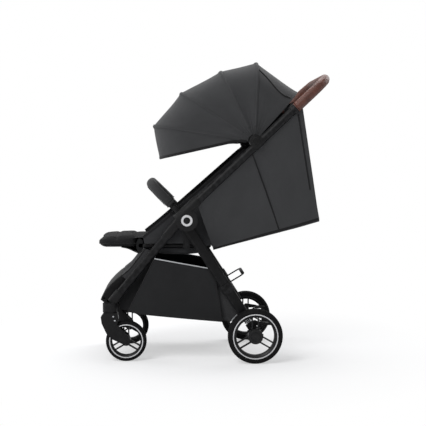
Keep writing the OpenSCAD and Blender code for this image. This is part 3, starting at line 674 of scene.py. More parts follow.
def cloth_sheet(name: str, grid: Grid, inner: Vector, thickness: float = 0.0014) -> Piece:
    """Make a sheet of cloth through a grid of points.

    Args:
        name: Name of the piece.
        grid: Rows of points, all of one length.
        inner: A point on the inner side, which the outer face turns away from.
        thickness: Thickness of the cloth.

    Returns:
        The finished sheet.
    """
    rows, cols = len(grid), len(grid[0])
    down = [0.0]
    for i in range(1, rows):
        down.append(down[-1] + (grid[i][cols // 2] - grid[i - 1][cols // 2]).length)
    middle, across = grid[rows // 2], [0.0]
    for j in range(1, cols):
        across.append(across[-1] + (middle[j] - middle[j - 1]).length)
    faces = [(i * cols + j, i * cols + j + 1, (i + 1) * cols + j + 1, (i + 1) * cols + j)
             for i in range(rows - 1) for j in range(cols - 1)]
    marks = [(across[j], down[i]) for i in range(rows) for j in range(cols)]
    obj = from_faces(name, [p for row in grid for p in row], faces, marks)
    face = obj.data.polygons[len(obj.data.polygons) // 2]
    if face.normal.dot(face.center - inner) < 0:
        with editing(obj):
            bpy.ops.mesh.select_all(action="SELECT")
            bpy.ops.mesh.flip_normals()
    rounder(obj, boundary_smooth="PRESERVE_CORNERS")
    apply(obj, "SOLIDIFY", thickness=thickness, offset=0.0, use_even_offset=False)
    return smooth(obj)


def run_frames(path: Sequence[Vector], facing: Sequence[Vector] | Vector, closed: bool = False
               ) -> list[tuple[Vector, Vector, Vector]]:
    """Find the side and upward directions at each point of a run.

    Args:
        path: The points of the run.
        facing: The upward direction, one for all or one for each point.
        closed: Whether the run comes back to its start.

    Returns:
        Each point with its side and its upward direction.
    """
    count = len(path)
    out = []
    for i, point in enumerate(path):
        ahead = path[(i + 1) % count] if closed or i < count - 1 else path[i]
        behind = path[i - 1] if closed or i else path[i]
        tangent = (ahead - behind).normalized()
        up = facing if isinstance(facing, Vector) else facing[i]
        side = tangent.cross(up).normalized()
        out.append((point, side, side.cross(tangent).normalized()))
    return out


def run_along(name: str, path: Sequence[Vector], facing: Sequence[Vector] | Vector, profile: Profile,
              closed: bool = False) -> Piece:
    """Run a closed outline along a path, as for tape, webbing, piping and wire.

    Args:
        name: Name of the piece.
        path: The points that it follows.
        facing: The upward direction, one for all or one for each point.
        profile: The outline as places sideways and upwards.
        closed: Whether the run comes back to its start.

    Returns:
        The new piece, its ends closed.
    """
    size = len(profile)
    girth = [0.0]
    for i in range(1, size):
        girth.append(girth[-1] + math.dist(profile[i], profile[i - 1]))
    points, marks, length = [], [], 0.0
    for i, (point, side, up) in enumerate(run_frames(path, facing, closed)):
        length += (path[i] - path[i - 1]).length if i else 0.0
        for (u, h), g in zip(profile, girth):
            points.append(point + side * u + up * h)
            marks.append((g, length))
    rings = len(path)
    faces = [(i % rings * size + j, i % rings * size + (j + 1) % size,
              (i + 1) % rings * size + (j + 1) % size, (i + 1) % rings * size + j)
             for i in range(rings if closed else rings - 1) for j in range(size)]
    if not closed:
        faces += [tuple(range(size))[::-1], tuple(range((rings - 1) * size, rings * size))]
    return smooth(outward(from_faces(name, points, faces, marks)), 50)


def round_profile(radius: float, sides: int = 8, flat: float = 1.0) -> list[tuple[float, float]]:
    """Return a round outline, flattened upwards by a share."""
    return [(radius * math.cos(math.tau * i / sides), flat * radius * math.sin(math.tau * i / sides))
            for i in range(sides)]


def band_profile(width: float, thickness: float, crown: float = 0.0) -> list[tuple[float, float]]:
    """Outline a band of tape or webbing.

    Args:
        width: Its width.
        thickness: Its thickness.
        crown: How far its middle stands up.

    Returns:
        The outline, with soft edges.
    """
    w, t = width / 2, thickness / 2
    mid = t + crown * 0.8
    top = [(w * 0.94, t), (w * 0.5, mid), (0.0, t + crown), (-w * 0.5, mid), (-w * 0.94, t)]
    return top + [(-w, 0.0), (-w * 0.94, -t), (0.0, -t), (w * 0.94, -t), (w, 0.0)]


def resample(path: Sequence[Vector], count: int) -> list[Vector]:
    """Space points evenly along a path.

    Args:
        path: The path's own points.
        count: How many points are wanted.

    Returns:
        The new points.
    """
    lengths = [0.0]
    for a, b in zip(path, path[1:]):
        lengths.append(lengths[-1] + (b - a).length)
    out, k = [], 0
    for i in range(count):
        want = lengths[-1] * i / (count - 1)
        while k < len(path) - 2 and lengths[k + 1] < want:
            k += 1
        share = (want - lengths[k]) / max(lengths[k + 1] - lengths[k], 1e-9)
        out.append(path[k].lerp(path[k + 1], min(max(share, 0.0), 1.0)))
    return out


def curved(path: Sequence[Vector], count: int) -> list[Vector]:
    """Draw a smooth line through a few points.

    Args:
        path: The points to pass through.
        count: How many points the line has.

    Returns:
        The line's points, evenly spaced.
    """
    ends = [path[0] * 2 - path[1], *path, path[-1] * 2 - path[-2]]
    fine = []
    for i in range(1, len(ends) - 2):
        a, b, c, d = ends[i - 1:i + 3]
        for step in range(12):
            t = step / 12
            fine.append(0.5 * (2 * b + (c - a) * t + (2 * a - 5 * b + 4 * c - d) * t * t
                               + (3 * b - a - 3 * c + d) * t ** 3))
    return resample([*fine, path[-1]], count)


def stitches(name: str, path: Sequence[Vector], facing: Sequence[Vector] | Vector, pitch: float = 0.0055,
             length: float = 0.0038, radius: float = 0.00055, lift: float = 0.0002) -> Piece:
    """Sew a row of stitches along a path.

    Args:
        name: Name of the piece.
        path: The seam's line, on the cloth's surface.
        facing: The cloth's outward direction, one for all or one for each point.
        pitch: Distance between two stitches.
        length: Length of a stitch.
        radius: Radius of the thread.
        lift: Height of the thread's middle above the cloth.

    Returns:
        The row as one piece.
    """
    total = sum((b - a).length for a, b in zip(path, path[1:]))
    count = max(4, int(total / pitch) * 2)
    line = resample(path, count + 1)
    if not isinstance(facing, Vector):
        last = len(facing) - 1
        facing = [facing[min(last, round(i * last / count))] for i in range(count + 1)]
    points, faces, marks = [], [], []
    frames = run_frames(line, facing)
    for i in range(0, count - 1, 2):
        point, side, up = frames[i]
        tangent = (line[i + 1] - line[i]).normalized()
        first = len(points)
        for along, size in ((-0.5, 0.35), (-0.3, 1.0), (0.3, 1.0), (0.5, 0.35)):
            centre = point + tangent * length * along + up * lift
            for u, h in ((1, 0), (0, 1), (-1, 0), (0, -1)):
                points.append(centre + (side * u + up * h) * radius * size)
                marks.append((u * radius, along * length))
        for ring in range(3):
            for k in range(4):
                a, b = first + ring * 4 + k, first + ring * 4 + (k + 1) % 4
                faces.append((a, b, b + 4, a + 4))
        faces += [(first + 3, first + 2, first + 1, first), (first + 12, first + 13, first + 14, first + 15)]
    obj = from_faces(name, points, faces, marks)
    return smooth(outward(obj, 1e-6), 80)


def turned(name: str, outline: Profile, axle: Vector, steps: int, closed: bool = False,
           out: int = 1) -> Piece:
    """Turn an outline about an axis across the stroller, as on a lathe.

    Args:
        name: Name of the piece.
        outline: Radius and place along the axis of each point, in order.
        axle: A point on the axis.
        steps: How many steps the turn has.
        closed: Whether the outline closes on itself.
        out: Minus one where the places along the axis run towards the left.

    Returns:
        The new piece.
    """
    clear_selection()
    bpy.ops.mesh.primitive_circle_add(vertices=len(outline), radius=0.01, location=(0, 0, 0))
    obj = named(bpy.context.object, name)
    for vertex, (radius, along) in zip(obj.data.vertices, outline):
        vertex.co = axle + Vector((0, out * along, radius))
    with editing(obj, "EDGE") as mesh:
        if not closed:
            ends = {0, len(outline) - 1}
            pick(obj, mesh, lambda e: {v.index for v in e.verts} == ends, "edges")
            bpy.ops.mesh.delete(type="EDGE_FACE")
        bpy.ops.mesh.select_all(action="SELECT")
        bpy.ops.mesh.spin(steps=steps, angle=math.tau, center=axle, axis=(0, 1, 0), use_auto_merge=True)
    return smooth(outward(obj), 35)


def capped(obj: Piece) -> Piece:
    """Close the open ends of a tube."""
    with editing(obj, "EDGE") as mesh:
        pick(obj, mesh, lambda e: e.is_boundary, "edges")
        bpy.ops.mesh.edge_face_add()
    return obj


def softened(node: str, name: str, width: float, finish: Finish, segments: int = 2) -> Piece:
    """Stand in for a moulded solid with a copy whose edges are rounded.

    Args:
        node: The solid.
        name: Name of the new piece.
        width: Width of the rounding.
        finish: Its finish.
        segments: Steps in the rounding.

    Returns:
        The new piece, on the solid's own body.
    """
    solid = frame["nodes"][node]
    copy = bpy.data.objects.new(name, solid.data.copy())
    bpy.context.scene.collection.objects.link(copy)
    copy.data.name = name
    with editing(copy):
        bpy.ops.mesh.select_all(action="SELECT")
        bpy.ops.mesh.remove_doubles(threshold=2e-6)
        bpy.ops.mesh.dissolve_limited(angle_limit=math.radians(1.0))
    apply(copy, "BEVEL", width=width, segments=segments, limit_method="ANGLE", angle_limit=math.radians(30.0),
          use_clamp_overlap=True, harden_normals=False)
    return dress(smooth(copy, 40), finish, solid["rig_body"], [node])


def bent_tube(name: str, place: Callable[[float, float], Vector], span: tuple[float, float], half: float,
              bend: float, radius: float) -> Piece:
    """Draw a U-shaped tube by extruding and spinning a circle.

    Args:
        name: Name of the piece.
        place: Gives a point from the distance along the legs and the place across.
        span: Where the legs start, and where the cross-bar lies.
        half: Half of the distance between the legs.
        bend: Radius of the corners.
        radius: Radius of the tube.

    Returns:
        The new piece, its ends closed.
    """
    ahead = (place(1.0, 0.0) - place(0.0, 0.0)).normalized()
    turn = ahead.to_track_quat("Z", "Y").to_euler()
    corner, middle, sides = span[1] - bend, half - bend, 20
    clear_selection()
    bpy.ops.mesh.primitive_circle_add(vertices=sides, radius=radius, location=place(span[0], -half),
                                      rotation=turn)
    obj = named(settle(bpy.context.object), name)
    normal = ahead.cross(ACROSS)
    legs = 8

    def push(step: Vector, count: int) -> None:
        """Extrude the open end in equal steps."""
        for _ in range(count):
            bpy.ops.mesh.extrude_region_move(TRANSFORM_OT_translate={"value": step / count})

    with editing(obj, "EDGE"):
        bpy.ops.mesh.select_all(action="SELECT")
        push(ahead * (corner - span[0]), legs)
        bpy.ops.mesh.spin(steps=14, angle=-math.pi / 2, center=place(corner, -middle), axis=normal)
        push(Vector((0, 2 * middle, 0)), legs)
        bpy.ops.mesh.spin(steps=14, angle=-math.pi / 2, center=place(corner, middle), axis=normal)
        push(ahead * (span[0] - corner), legs)
    return smooth(outward(capped(obj)), 50)


def bent_line(place: Callable[[float, float], Vector], span: tuple[float, float], half: float, bend: float,
              steps: int) -> list[Vector]:
    """Follow a U-shaped tube from end to end.

    Args:
        place: Gives a point from the distance along the legs and the place across.
        span: Where the line starts, and where the cross-bar lies.
        half: Half of the distance between the legs.
        bend: Radius of the corners.
        steps: Steps in each corner.

    Returns:
        The line's points.
    """
    corner, middle, step = span[1] - bend, half - bend, math.pi / 2 / steps
    path = [place(span[0], -half), place(corner, -half)]
    for sign in (-1, 1):
        for i in range(1, steps):
            a = step * i if sign < 0 else math.pi / 2 - step * i
            path.append(place(corner + math.sin(a) * bend, sign * (middle + math.cos(a) * bend)))
    return [*path, place(corner, half), place(span[0], half)]


def hoop(centre: Vector, ahead: Vector, radius: float, thick: float) -> Piece:
    """Lay a round cord about a tube that runs in a given direction."""
    up = ahead.cross(ACROSS)
    loop = [centre + (ACROSS * math.cos(a) + up * math.sin(a)) * radius
            for a in (math.tau * i / 32 for i in range(32))]
    return run_along("hoop", loop, ahead, round_profile(thick), closed=True)


# ---------- frame, fittings and wheels ----------


@dataclass
class Tubes:
    """The bare aluminium tubes and oval legs."""

    nodes: tuple[str, ...] = (
        "front_leg_left", "front_leg_right", "seat_frame", "rear_leg_left", "rear_leg_right", "rear_crossbar",
        "push_arm_left", "push_arm_right", "handle_bar", "backrest_frame", "bumper_bar", "bow_rear",
        "bow_upper", "bow_middle", "bow_front")
    rivet_r: float = 0.0032

    def build(self) -> None:
        """Finish the tubes and set the rivets that hold their sleeves."""
        for node in self.nodes:
            solid = frame["nodes"][node]
            solid.data.materials.clear()
            solid.data.materials.append(FRAME.material())
            hold(solid)
            for polygon in solid.data.polygons:
                polygon.use_smooth = False
        low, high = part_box("rear_crossbar")
        middle = (low + high) / 2
        for side in Side:
            heads = [self.rivet(Vector((middle.x + x, side.value * (high.y + 0.0002), middle.z + z)), side)
                     for x, z in ((-0.006, 0.009), (0.005, -0.009))]
            dress(joined(f"sleeve_rivets_{side.word}", heads), FRAME, "rear_frame")

    def rivet(self, at: Vector, side: Side) -> Piece:
        """Turn one domed rivet head on the outer face."""
        r = self.rivet_r
        outline = [(0.0, 0.0), (r, 0.0), (r, 0.0006), (r * 0.8, 0.0013), (r * 0.4, 0.0017), (0.0, 0.0018)]
        return turned("rivet", outline, at, 16, out=side.value)


@dataclass
class Fittings:
    """Moulded housings, sockets, clips, pedals and boards, with their edges rounded."""

    widths: dict[str, float] = field(default_factory=lambda: {
        "hub_plates": 0.0012, "hub_covers": 0.0025, "hood_clips": 0.0016, "caster_sockets": 0.0015,
        "axle_carrier_left": 0.0012, "axle_carrier_right": 0.0012, "brake_pedal_left": 0.0012,
        "brake_pedal_right": 0.0012, "foot_plate": 0.0008, "seat_board": 0.0008,
        "buckle": 0.003, "fold_lever": 0.001})

    def build(self) -> None:
        """Round every fitting and add what is screwed or let into it."""
        for node, width in self.widths.items():
            softened(node, f"{node}_moulding", width, FRAME if node == "fold_lever" else PLASTIC)
        for node in ("fold_pins", "buckle_button"):
            frame["nodes"][node].data.materials.clear()
            frame["nodes"][node].data.materials.append(STEEL.material())
        for side in Side:
            self.hub_cap(side)
            self.clip_button(side)
            self.spring(side)

    def hub_cap(self, side: Side) -> None:
        """Set the silver ring and the dark dish into the fold hub."""
        axle = Vector((PLAN.hub[0], 0, PLAN.hub[1]))
        ring = [(0.0196, 0.2446), (0.0196, 0.2466), (0.0188, 0.2474), (0.0124, 0.2474), (0.0116, 0.2466),
                (0.0116, 0.2446)]
        dish = [(0.0, 0.2446), (0.0112, 0.2446), (0.0112, 0.2462), (0.0104, 0.2468), (0.0092, 0.2466),
                (0.0086, 0.2459), (0.0078, 0.2464), (0.004, 0.2472), (0.0, 0.2474)]
        dress(turned(f"hub_ring_{side.word}", ring, axle, 72, True, side.value), SATIN, "push_frame")
        dress(turned(f"hub_dish_{side.word}", dish, axle, 48, out=side.value), PLASTIC, "push_frame")

    def clip_button(self, side: Side) -> None:
        """Set the hood clip's release button."""
        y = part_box("hood_clips")[1].y
        button = [(r, y + p) for r, p in ((0.0, -0.001), (0.013, -0.001), (0.013, 0.0022), (0.0115, 0.0034),
                                          (0.0085, 0.0034), (0.0078, 0.0026), (0.004, 0.003), (0.0, 0.0031))]
        cap = turned(f"hood_button_{side.word}", button, PLAN.hood_pivot, 40, out=side.value)
        dress(cap, PLASTIC, "push_frame")

    def spring(self, side: Side) -> None:
        """Wind one suspension spring round its stem."""
        turns, pitch, wire, coil, down = 5, 0.0266, 0.0015, 0.0086, 0.3871
        top = Vector((-0.105, side.value * 0.206, 0.486))
        run = Vector((0.53905, -0.02156 * side.value, -0.842)).normalized()
        clear_selection()
        bpy.ops.mesh.primitive_circle_add(vertices=8, radius=wire, location=(coil, 0, 0),
                                          rotation=(math.pi / 2, 0, 0))
        obj = named(settle(bpy.context.object), f"suspension_spring_{side.word}")
        steps = 24 * turns
        apply(obj, "SCREW", angle=math.tau * turns, screw_offset=pitch, steps=steps, render_steps=steps,
              use_merge_vertices=False)
        outward(capped(obj), 1e-6)
        turn = run.to_track_quat("Z", "Y").to_matrix().to_4x4()
        obj.data.transform(Matrix.Translation(top + run * down) @ turn)
        dress(smooth(obj, 60), STEEL, "rear_frame", ["suspension_springs"])


@dataclass
class Wheel:
    """One wheel: tyre, silver ring, rim and hub cap."""

    end: str
    side: Side
    rim_share: float = 0.8
    ring: float = 0.0034

    def build(self) -> None:
        """Build and dress the wheel."""
        out, word = self.side.value, self.side.word
        low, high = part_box(f"{self.end}_tyre_{word}")
        self.radius, self.width = (high.z - low.z) / 2, high.y - low.y
        self.axle = (low + high) / 2
        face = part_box(f"{self.end}_rim_{word}")
        self.face = max(abs(face[0].y), abs(face[1].y)) - abs(self.axle.y)
        body = f"{self.end}_wheel_{word}"
        dress(self.tyre(), FOAM, body, [f"{self.end}_tyre_{word}"])
        inner, half = self.radius * self.rim_share, self.width / 2
        edge = inner + self.ring - 0.0012
        lip = [(inner - 0.0016, 0.40 * self.width), (inner - 0.0012, half + 0.0006),
               (inner + self.ring * 0.5, half + 0.0011), (edge, half + 0.0006), (edge, half - 0.001)]
        dress(turned(f"{self.end}_ring_{word}", lip, self.axle, 96, True, out), SATIN, body)
        softened(f"{self.end}_rim_{word}", f"{self.end}_rim_{word}_moulding", 0.0008, RIM)
        dress(self.cap(), RIM, body)
        dress(self.axle_end(), RIM, body)

    def tyre(self) -> Piece:
        """Turn the tyre with its grooves, then cut the blocks of its shoulders."""
        inner, outer, half = self.radius * self.rim_share + 0.0001, self.radius, self.width / 2
        side = [(inner, 0.80), (inner + 0.0012, 0.97), (inner + 0.004, 1.0), (outer - 0.0095, 0.985),
                (outer - 0.006, 0.93), (outer - 0.0024, 0.8), (outer - 0.0006, 0.62), (outer - 0.0003, 0.5),
                (outer - 0.0016, 0.48), (outer - 0.0016, 0.42), (outer, 0.4), (outer, 0.2),
                (outer - 0.0014, 0.18), (outer - 0.0014, 0.12), (outer, 0.1)]
        outline = [(r, half * y) for r, y in side] + [(r, -half * y) for r, y in reversed(side)]
        steps = 108
        obj = turned(f"{self.end}_tyre_{self.side.word}_foam", outline, self.axle, steps, True)

        def block(face: bmesh.types.BMFace) -> bool:
            """Say whether a face lies in one of the shoulder cuts."""
            centre = face.calc_center_median() - self.axle
            reach = math.hypot(centre.x, centre.z)
            turn = round(math.degrees(math.atan2(centre.z, centre.x)) * steps / 360 - 0.5)
            return reach > outer - 0.0045 and 0.6 * half < abs(centre.y) < 0.9 * half and turn % 4 == 0

        with editing(obj) as mesh:
            pick(obj, mesh, block)
            bpy.ops.mesh.extrude_region_shrink_fatten(TRANSFORM_OT_shrink_fatten={"value": -0.0011})
        return smooth(obj, 35)

    def cap(self) -> Piece:
        """Turn the stepped hub cap."""
        hub = 0.0235 if self.end == "rear" else 0.0145
        steps = [(0.0, -0.001), (hub, -0.001), (hub, 0.0016), (hub - 0.0014, 0.003), (hub * 0.74, 0.0034),
                 (hub * 0.7, 0.0024), (hub * 0.62, 0.0024), (hub * 0.58, 0.0042), (hub * 0.4, 0.005),
                 (0.0, 0.0053)]
        return self.on_face("cap", steps, self.face, 48)

    def axle_end(self) -> Piece:
        """Turn the pin in the middle of the hub cap."""
        r = 0.0045 if self.end == "rear" else 0.003
        outline = [(0.0, 0.0), (r, 0.0), (r, 0.0018), (r * 0.7, 0.0026), (0.0, 0.0028)]
        return self.on_face("pin", outline, self.face + 0.004, 24)

    def on_face(self, word: str, outline: Profile, at: float, steps: int) -> Piece:
        """Turn an outline that stands at a distance outside the wheel's middle plane."""
        name = f"{self.end}_{word}_{self.side.word}"
        return turned(name, [(r, at + y) for r, y in outline], self.axle, steps, out=self.side.value)


@dataclass
class Fork:
    """One front fork with its bolts."""

    side: Side

    def build(self) -> None:
        """Round the moulding and set its two bolts."""
        out, word = self.side.value, self.side.word
        softened(f"fork_{word}", f"fork_{word}_moulding", 0.003, PLASTIC, 3)
        low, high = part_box(f"fork_{word}")
        face = high.y if out > 0 else -low.y
        bolts = []
        for x, z in ((-0.356, 0.160), (-0.3505, 0.1455)):
            outline = [(r, face + p) for r, p in ((0.0, -0.001), (0.0028, -0.001), (0.0028, 0.001),
                                                  (0.0022, 0.0016), (0.0012, 0.0016), (0.001, 0.0008),
                                                  (0.0, 0.0008))]
            bolts.append(turned("bolt", outline, Vector((x, 0, z)), 20, out=out))
        dress(joined(f"fork_bolts_{word}", bolts), STEEL, f"caster_{word}")


# ---------- handle and bumper ----------


@dataclass
class Handle:
    """The leather grip on the handle, with its seam and rolled ends."""

    radius: float = 0.0170

    def build(self) -> None:
        """Draw the grip, its stitched seam and its ends."""
        start, reach = PLAN.grip_from, PLAN.handle_reach
        grip = bent_tube("leather_grip", lambda along, y: PLAN.arm(along, 0.0, y), (start, reach), PLAN.arm_y,
                         PLAN.handle_bend, self.radius)
        rounder(grip)
        for vertex in grip.data.vertices:
            vertex.co += vertex.normal * 0.0004 * noise.noise(vertex.co * 55)
        dress(grip, LEATHER, "push_frame", ["handle_cover"])
        down = -self.radius - 0.0002
        seam = bent_line(lambda along, y: PLAN.arm(along, down, y), (start + 0.004, reach), PLAN.arm_y,
                         PLAN.handle_bend, 12)
        line = resample(seam, 150)
        under = (PLAN.arm(0, -1) - PLAN.arm(0, 0)).normalized()
        welt = run_along("grip_welt", line, under, band_profile(0.004, 0.0007, 0.0006))
        dress(welt, LEATHER, "push_frame")
        rows = []
        for offset in (-0.0042, 0.0042):
            path = [p + s * offset - u * 0.0006 for p, s, u in run_frames(line, under)]
            rows.append(stitches("row", path, under, 0.0062, 0.0045, 0.0006))
        dress(joined("grip_stitches", rows), LEATHER_THREAD, "push_frame")
        ahead = (PLAN.arm(1, 0) - PLAN.arm(0, 0)).normalized()
        ends = [PLAN.arm(start + 0.001, 0, side.value * PLAN.arm_y) for side in Side]
        rings = [hoop(end, ahead, self.radius - 0.0008, 0.0014) for end in ends]
        dress(joined("grip_ends", rings), LEATHER, "push_frame")


@dataclass
class Bumper:
    """The padded sleeve of the bumper bar, zipped along its underside."""

    start: float = 0.0745
    reach: float = 0.174
    half: float = 0.185
    bend: float = 0.070
    radius: float = 0.0164

    def build(self) -> None:
        """Draw the sleeve, its end cuffs and its zip."""
        span = (self.start, self.reach)
        sleeve = bent_tube("bumper_sleeve_padding", PLAN.bumper, span, self.half, self.bend, self.radius)
        rounder(sleeve)
        centre = PLAN.bumper(self.reach, 0.0)
        for vertex in sleeve.data.vertices:
            share = max(0.0, 1 - (vertex.co - centre).length / 0.2)
            vertex.co += vertex.normal * (0.0012 * share + 0.0005 * noise.noise(vertex.co * 40))
        dress(sleeve, SLEEVE, "bumper", ["bumper_cover"])
        ahead = (PLAN.bumper(1.0) - PLAN.bumper(0.0)).normalized()
        cuffs = [hoop(PLAN.bumper(self.start + at, side.value * self.half), ahead, self.radius + size, 0.0011)
                 for side in Side for at, size in ((0.0015, 0.00024), (0.012, -0.00008))]
        dress(joined("bumper_cuffs", cuffs), TAPE, "bumper")
        path = bent_line(PLAN.bumper, (self.start + 0.014, self.reach), self.half, self.bend, 10)
        up = ahead.cross(ACROSS)
        below = -up if up.z > 0 else up
        line = [p + below * (self.radius + 0.0004) for p in resample(path, 110)]
        dress(run_along("bumper_zip", line, below, band_profile(0.007, 0.0008, 0.0009)), TAPE, "bumper")


# ---------- padding and harness ----------


def inflate(obj: Piece, cap: float, floor: float, pressure: float = 4.0) -> None:
    """Swell a closed shape as stuffed cloth and keep the result.

    Args:
        obj: The shape, its points close together.
        cap: The most that a point may move.
        floor: The height that nothing goes below.
        pressure: Pressure inside the cloth.
    """
    start = [v.co.copy() for v in obj.data.vertices]
    scene = bpy.context.scene
    hold(obj)
    cloth = obj.modifiers.new("cloth", "CLOTH")
    cloth.settings.quality = 4
    cloth.settings.mass = 0.25
    cloth.settings.use_pressure = True
    cloth.settings.uniform_pressure_force = pressure
    cloth.settings.effector_weights.gravity = 0.0
    cloth.point_cache.frame_start, cloth.point_cache.frame_end = 1, 20
    for number in range(1, 21):
        scene.frame_set(number)
    bpy.ops.object.modifier_apply(modifier=cloth.name)
    scene.frame_set(1)
    for vertex, old in zip(obj.data.vertices, start):
        move = vertex.co - old
        if move.length > cap:
            vertex.co = old + move * (cap / move.length)
        vertex.co.z = max(vertex.co.z, floor)


@dataclass
class Pad:
    """A stuffed pad: a swollen slab with sewn channels, a piped edge and stitched seams."""

    name: str
    node: str
    body: str
    corner: float
    place: Matrix
    low: Vector
    high: Vector
    across: tuple[float, ...] = ()
    along: tuple[float, ...] = ()
    fill: float = 0.6
    cap: float = 0.006
    rise: float = 0.0
    nose: float = 0.0
    boards: tuple[str, ...] = ()

    def build(self) -> Piece:
        """Make the pad and its trim, and return the pad."""
        obj = self.swollen()
        self.sew(obj)
        self.slope(obj)
        rounder(obj)
        smooth(obj, 180)
        self.tree = BVHTree.FromObject(obj, bpy.context.evaluated_depsgraph_get())
        trim = self.piping(0.42)
        low, high, inset = self.low, self.high, 0.012
        rows = [self.row([(x, y) for y in self.steps(low.y + inset, high.y - inset)]) for x in self.across]
        rows += [self.row([(x, y) for x in self.steps(low.x + inset, high.x - inset)]) for y in self.along]
        for piece in (obj, trim, *rows):
            piece.data.transform(self.place)
        dress(obj, SEAT_CLOTH, self.body, [self.node, *self.boards])
        dress(trim, TAPE, self.body)
        if rows:
            dress(joined(f"{self.name}_stitches", rows), THREAD, self.body)
        return obj

    def swollen(self) -> Piece:
        """Round a slab, remesh it and swell it."""
        size, centre = self.high - self.low, (self.high + self.low) / 2
        shrink = 0.003
        clear_selection()
        bpy.ops.mesh.primitive_cube_add(size=1, location=centre)
        obj = named(bpy.context.object, self.name)
        obj.scale = (size.x - 2 * shrink, size.y - 2 * shrink, size.z - 0.002)
        settle(obj)
        with editing(obj, "EDGE") as mesh:
            pick(obj, mesh, lambda e: abs((e.verts[0].co - e.verts[1].co).normalized().z) > 0.9, "edges")
            bpy.ops.mesh.bevel(offset=self.corner, segments=8, affect="EDGES")
        apply(obj, "BEVEL", width=size.z * 0.3, segments=3, limit_method="ANGLE",
              angle_limit=math.radians(60))
        obj.data.remesh_voxel_size = 0.005
        hold(obj)
        bpy.ops.object.voxel_remesh()
        inflate(obj, self.cap, self.low.z)
        return obj

    def sew(self, obj: Piece) -> None:
        """Draw the top in along each sewn channel, and crown it in between."""
        depth, width = 0.0038, 0.0055
        for vertex in obj.data.vertices:
            share = max(0.0, vertex.normal.z)
            if share < 0.2:
                continue
            gaps = [abs(vertex.co.x - x) for x in self.across] + [abs(vertex.co.y - y) for y in self.along]
            pull = sum(math.exp(-((g / width) ** 2)) for g in gaps)
            vertex.co.z -= share * depth * min(pull, 1.0)
            vertex.co.z += share * 0.0008 * noise.noise(vertex.co * 28)

    def slope(self, obj: Piece) -> None:
        """Lift the pad's top towards its rear, and round up the underside of its front end."""
        length, height = self.high.x - self.low.x, self.high.z - self.low.z
        for vertex in obj.data.vertices:
            along = (vertex.co.x - self.low.x) / length
            up = (vertex.co.z - self.low.z) / height
            tip = max(0.0, 1 - along / 0.24) ** 2
            vertex.co.z += self.rise * up * max(0.0, along) + self.nose * ((1 - up) - 0.35 * up) * tip

    def steps(self, start: float, end: float) -> list[float]:
        """Return places between two limits, 4 mm apart."""
        count = int(abs(end - start) / 0.004)
        return [start + (end - start) * i / count for i in range(count + 1)]

    def top(self, x: float, y: float) -> Vector | None:
        """Return the pad's upper surface at a place in its own frame, or None beyond its edge."""
        return self.tree.ray_cast(Vector((x, y, self.high.z + 0.1)), Vector((0, 0, -1)))[0]

    def row(self, places: Profile) -> Piece:
        """Sew one row of stitches over the pad."""
        hits = [hit for hit in (self.top(x, y) for x, y in places) if hit is not None]
        return stitches("row", hits, UP)

    def piping(self, share: float) -> Piece:
        """Run a round welt about the pad's edge at a share of its height."""
        z = self.low.z + (self.high.z - self.low.z) * share
        middle = (self.low + self.high) / 2
        reach, hits = (self.high - self.low) / 2, []
        count = 160
        for i in range(count):
            a = math.tau * i / count
            direction = Vector((math.cos(a) * reach.x, math.sin(a) * reach.y, 0))
            far = Vector((middle.x, middle.y, z)) + direction * 2
            hit = self.tree.ray_cast(far, -direction.normalized())[0]
            if hit is not None:
                hits.append(hit + direction.normalized() * 0.0003)
        return run_along(f"{self.name}_piping", hits, UP, round_profile(0.0017), closed=True)

    def band(self, name: str, places: Profile, profile: Profile, lift: float) -> Piece:
        """Lay webbing on the pad along a few places in its own frame.

        Args:
            name: Name of the webbing.
            places: Where it passes, as X and Y.
            profile: Its outline.
            lift: Height of its middle above the pad.

        Returns:
            The webbing, in the stroller's frame.
        """
        fine = curved([Vector((x, y, 0)) for x, y in places], 60)
        hits = [self.top(p.x, p.y) or Vector((p.x, p.y, self.high.z)) for p in fine]
        heights = [max(h.z for h in hits[max(0, i - 4):i + 5]) for i in range(len(hits))]
        path = [Vector((h.x, h.y, z + lift)) for h, z in zip(hits, heights)]
        obj = run_along(name, path, UP, profile)
        obj.data.transform(self.place)
        return obj


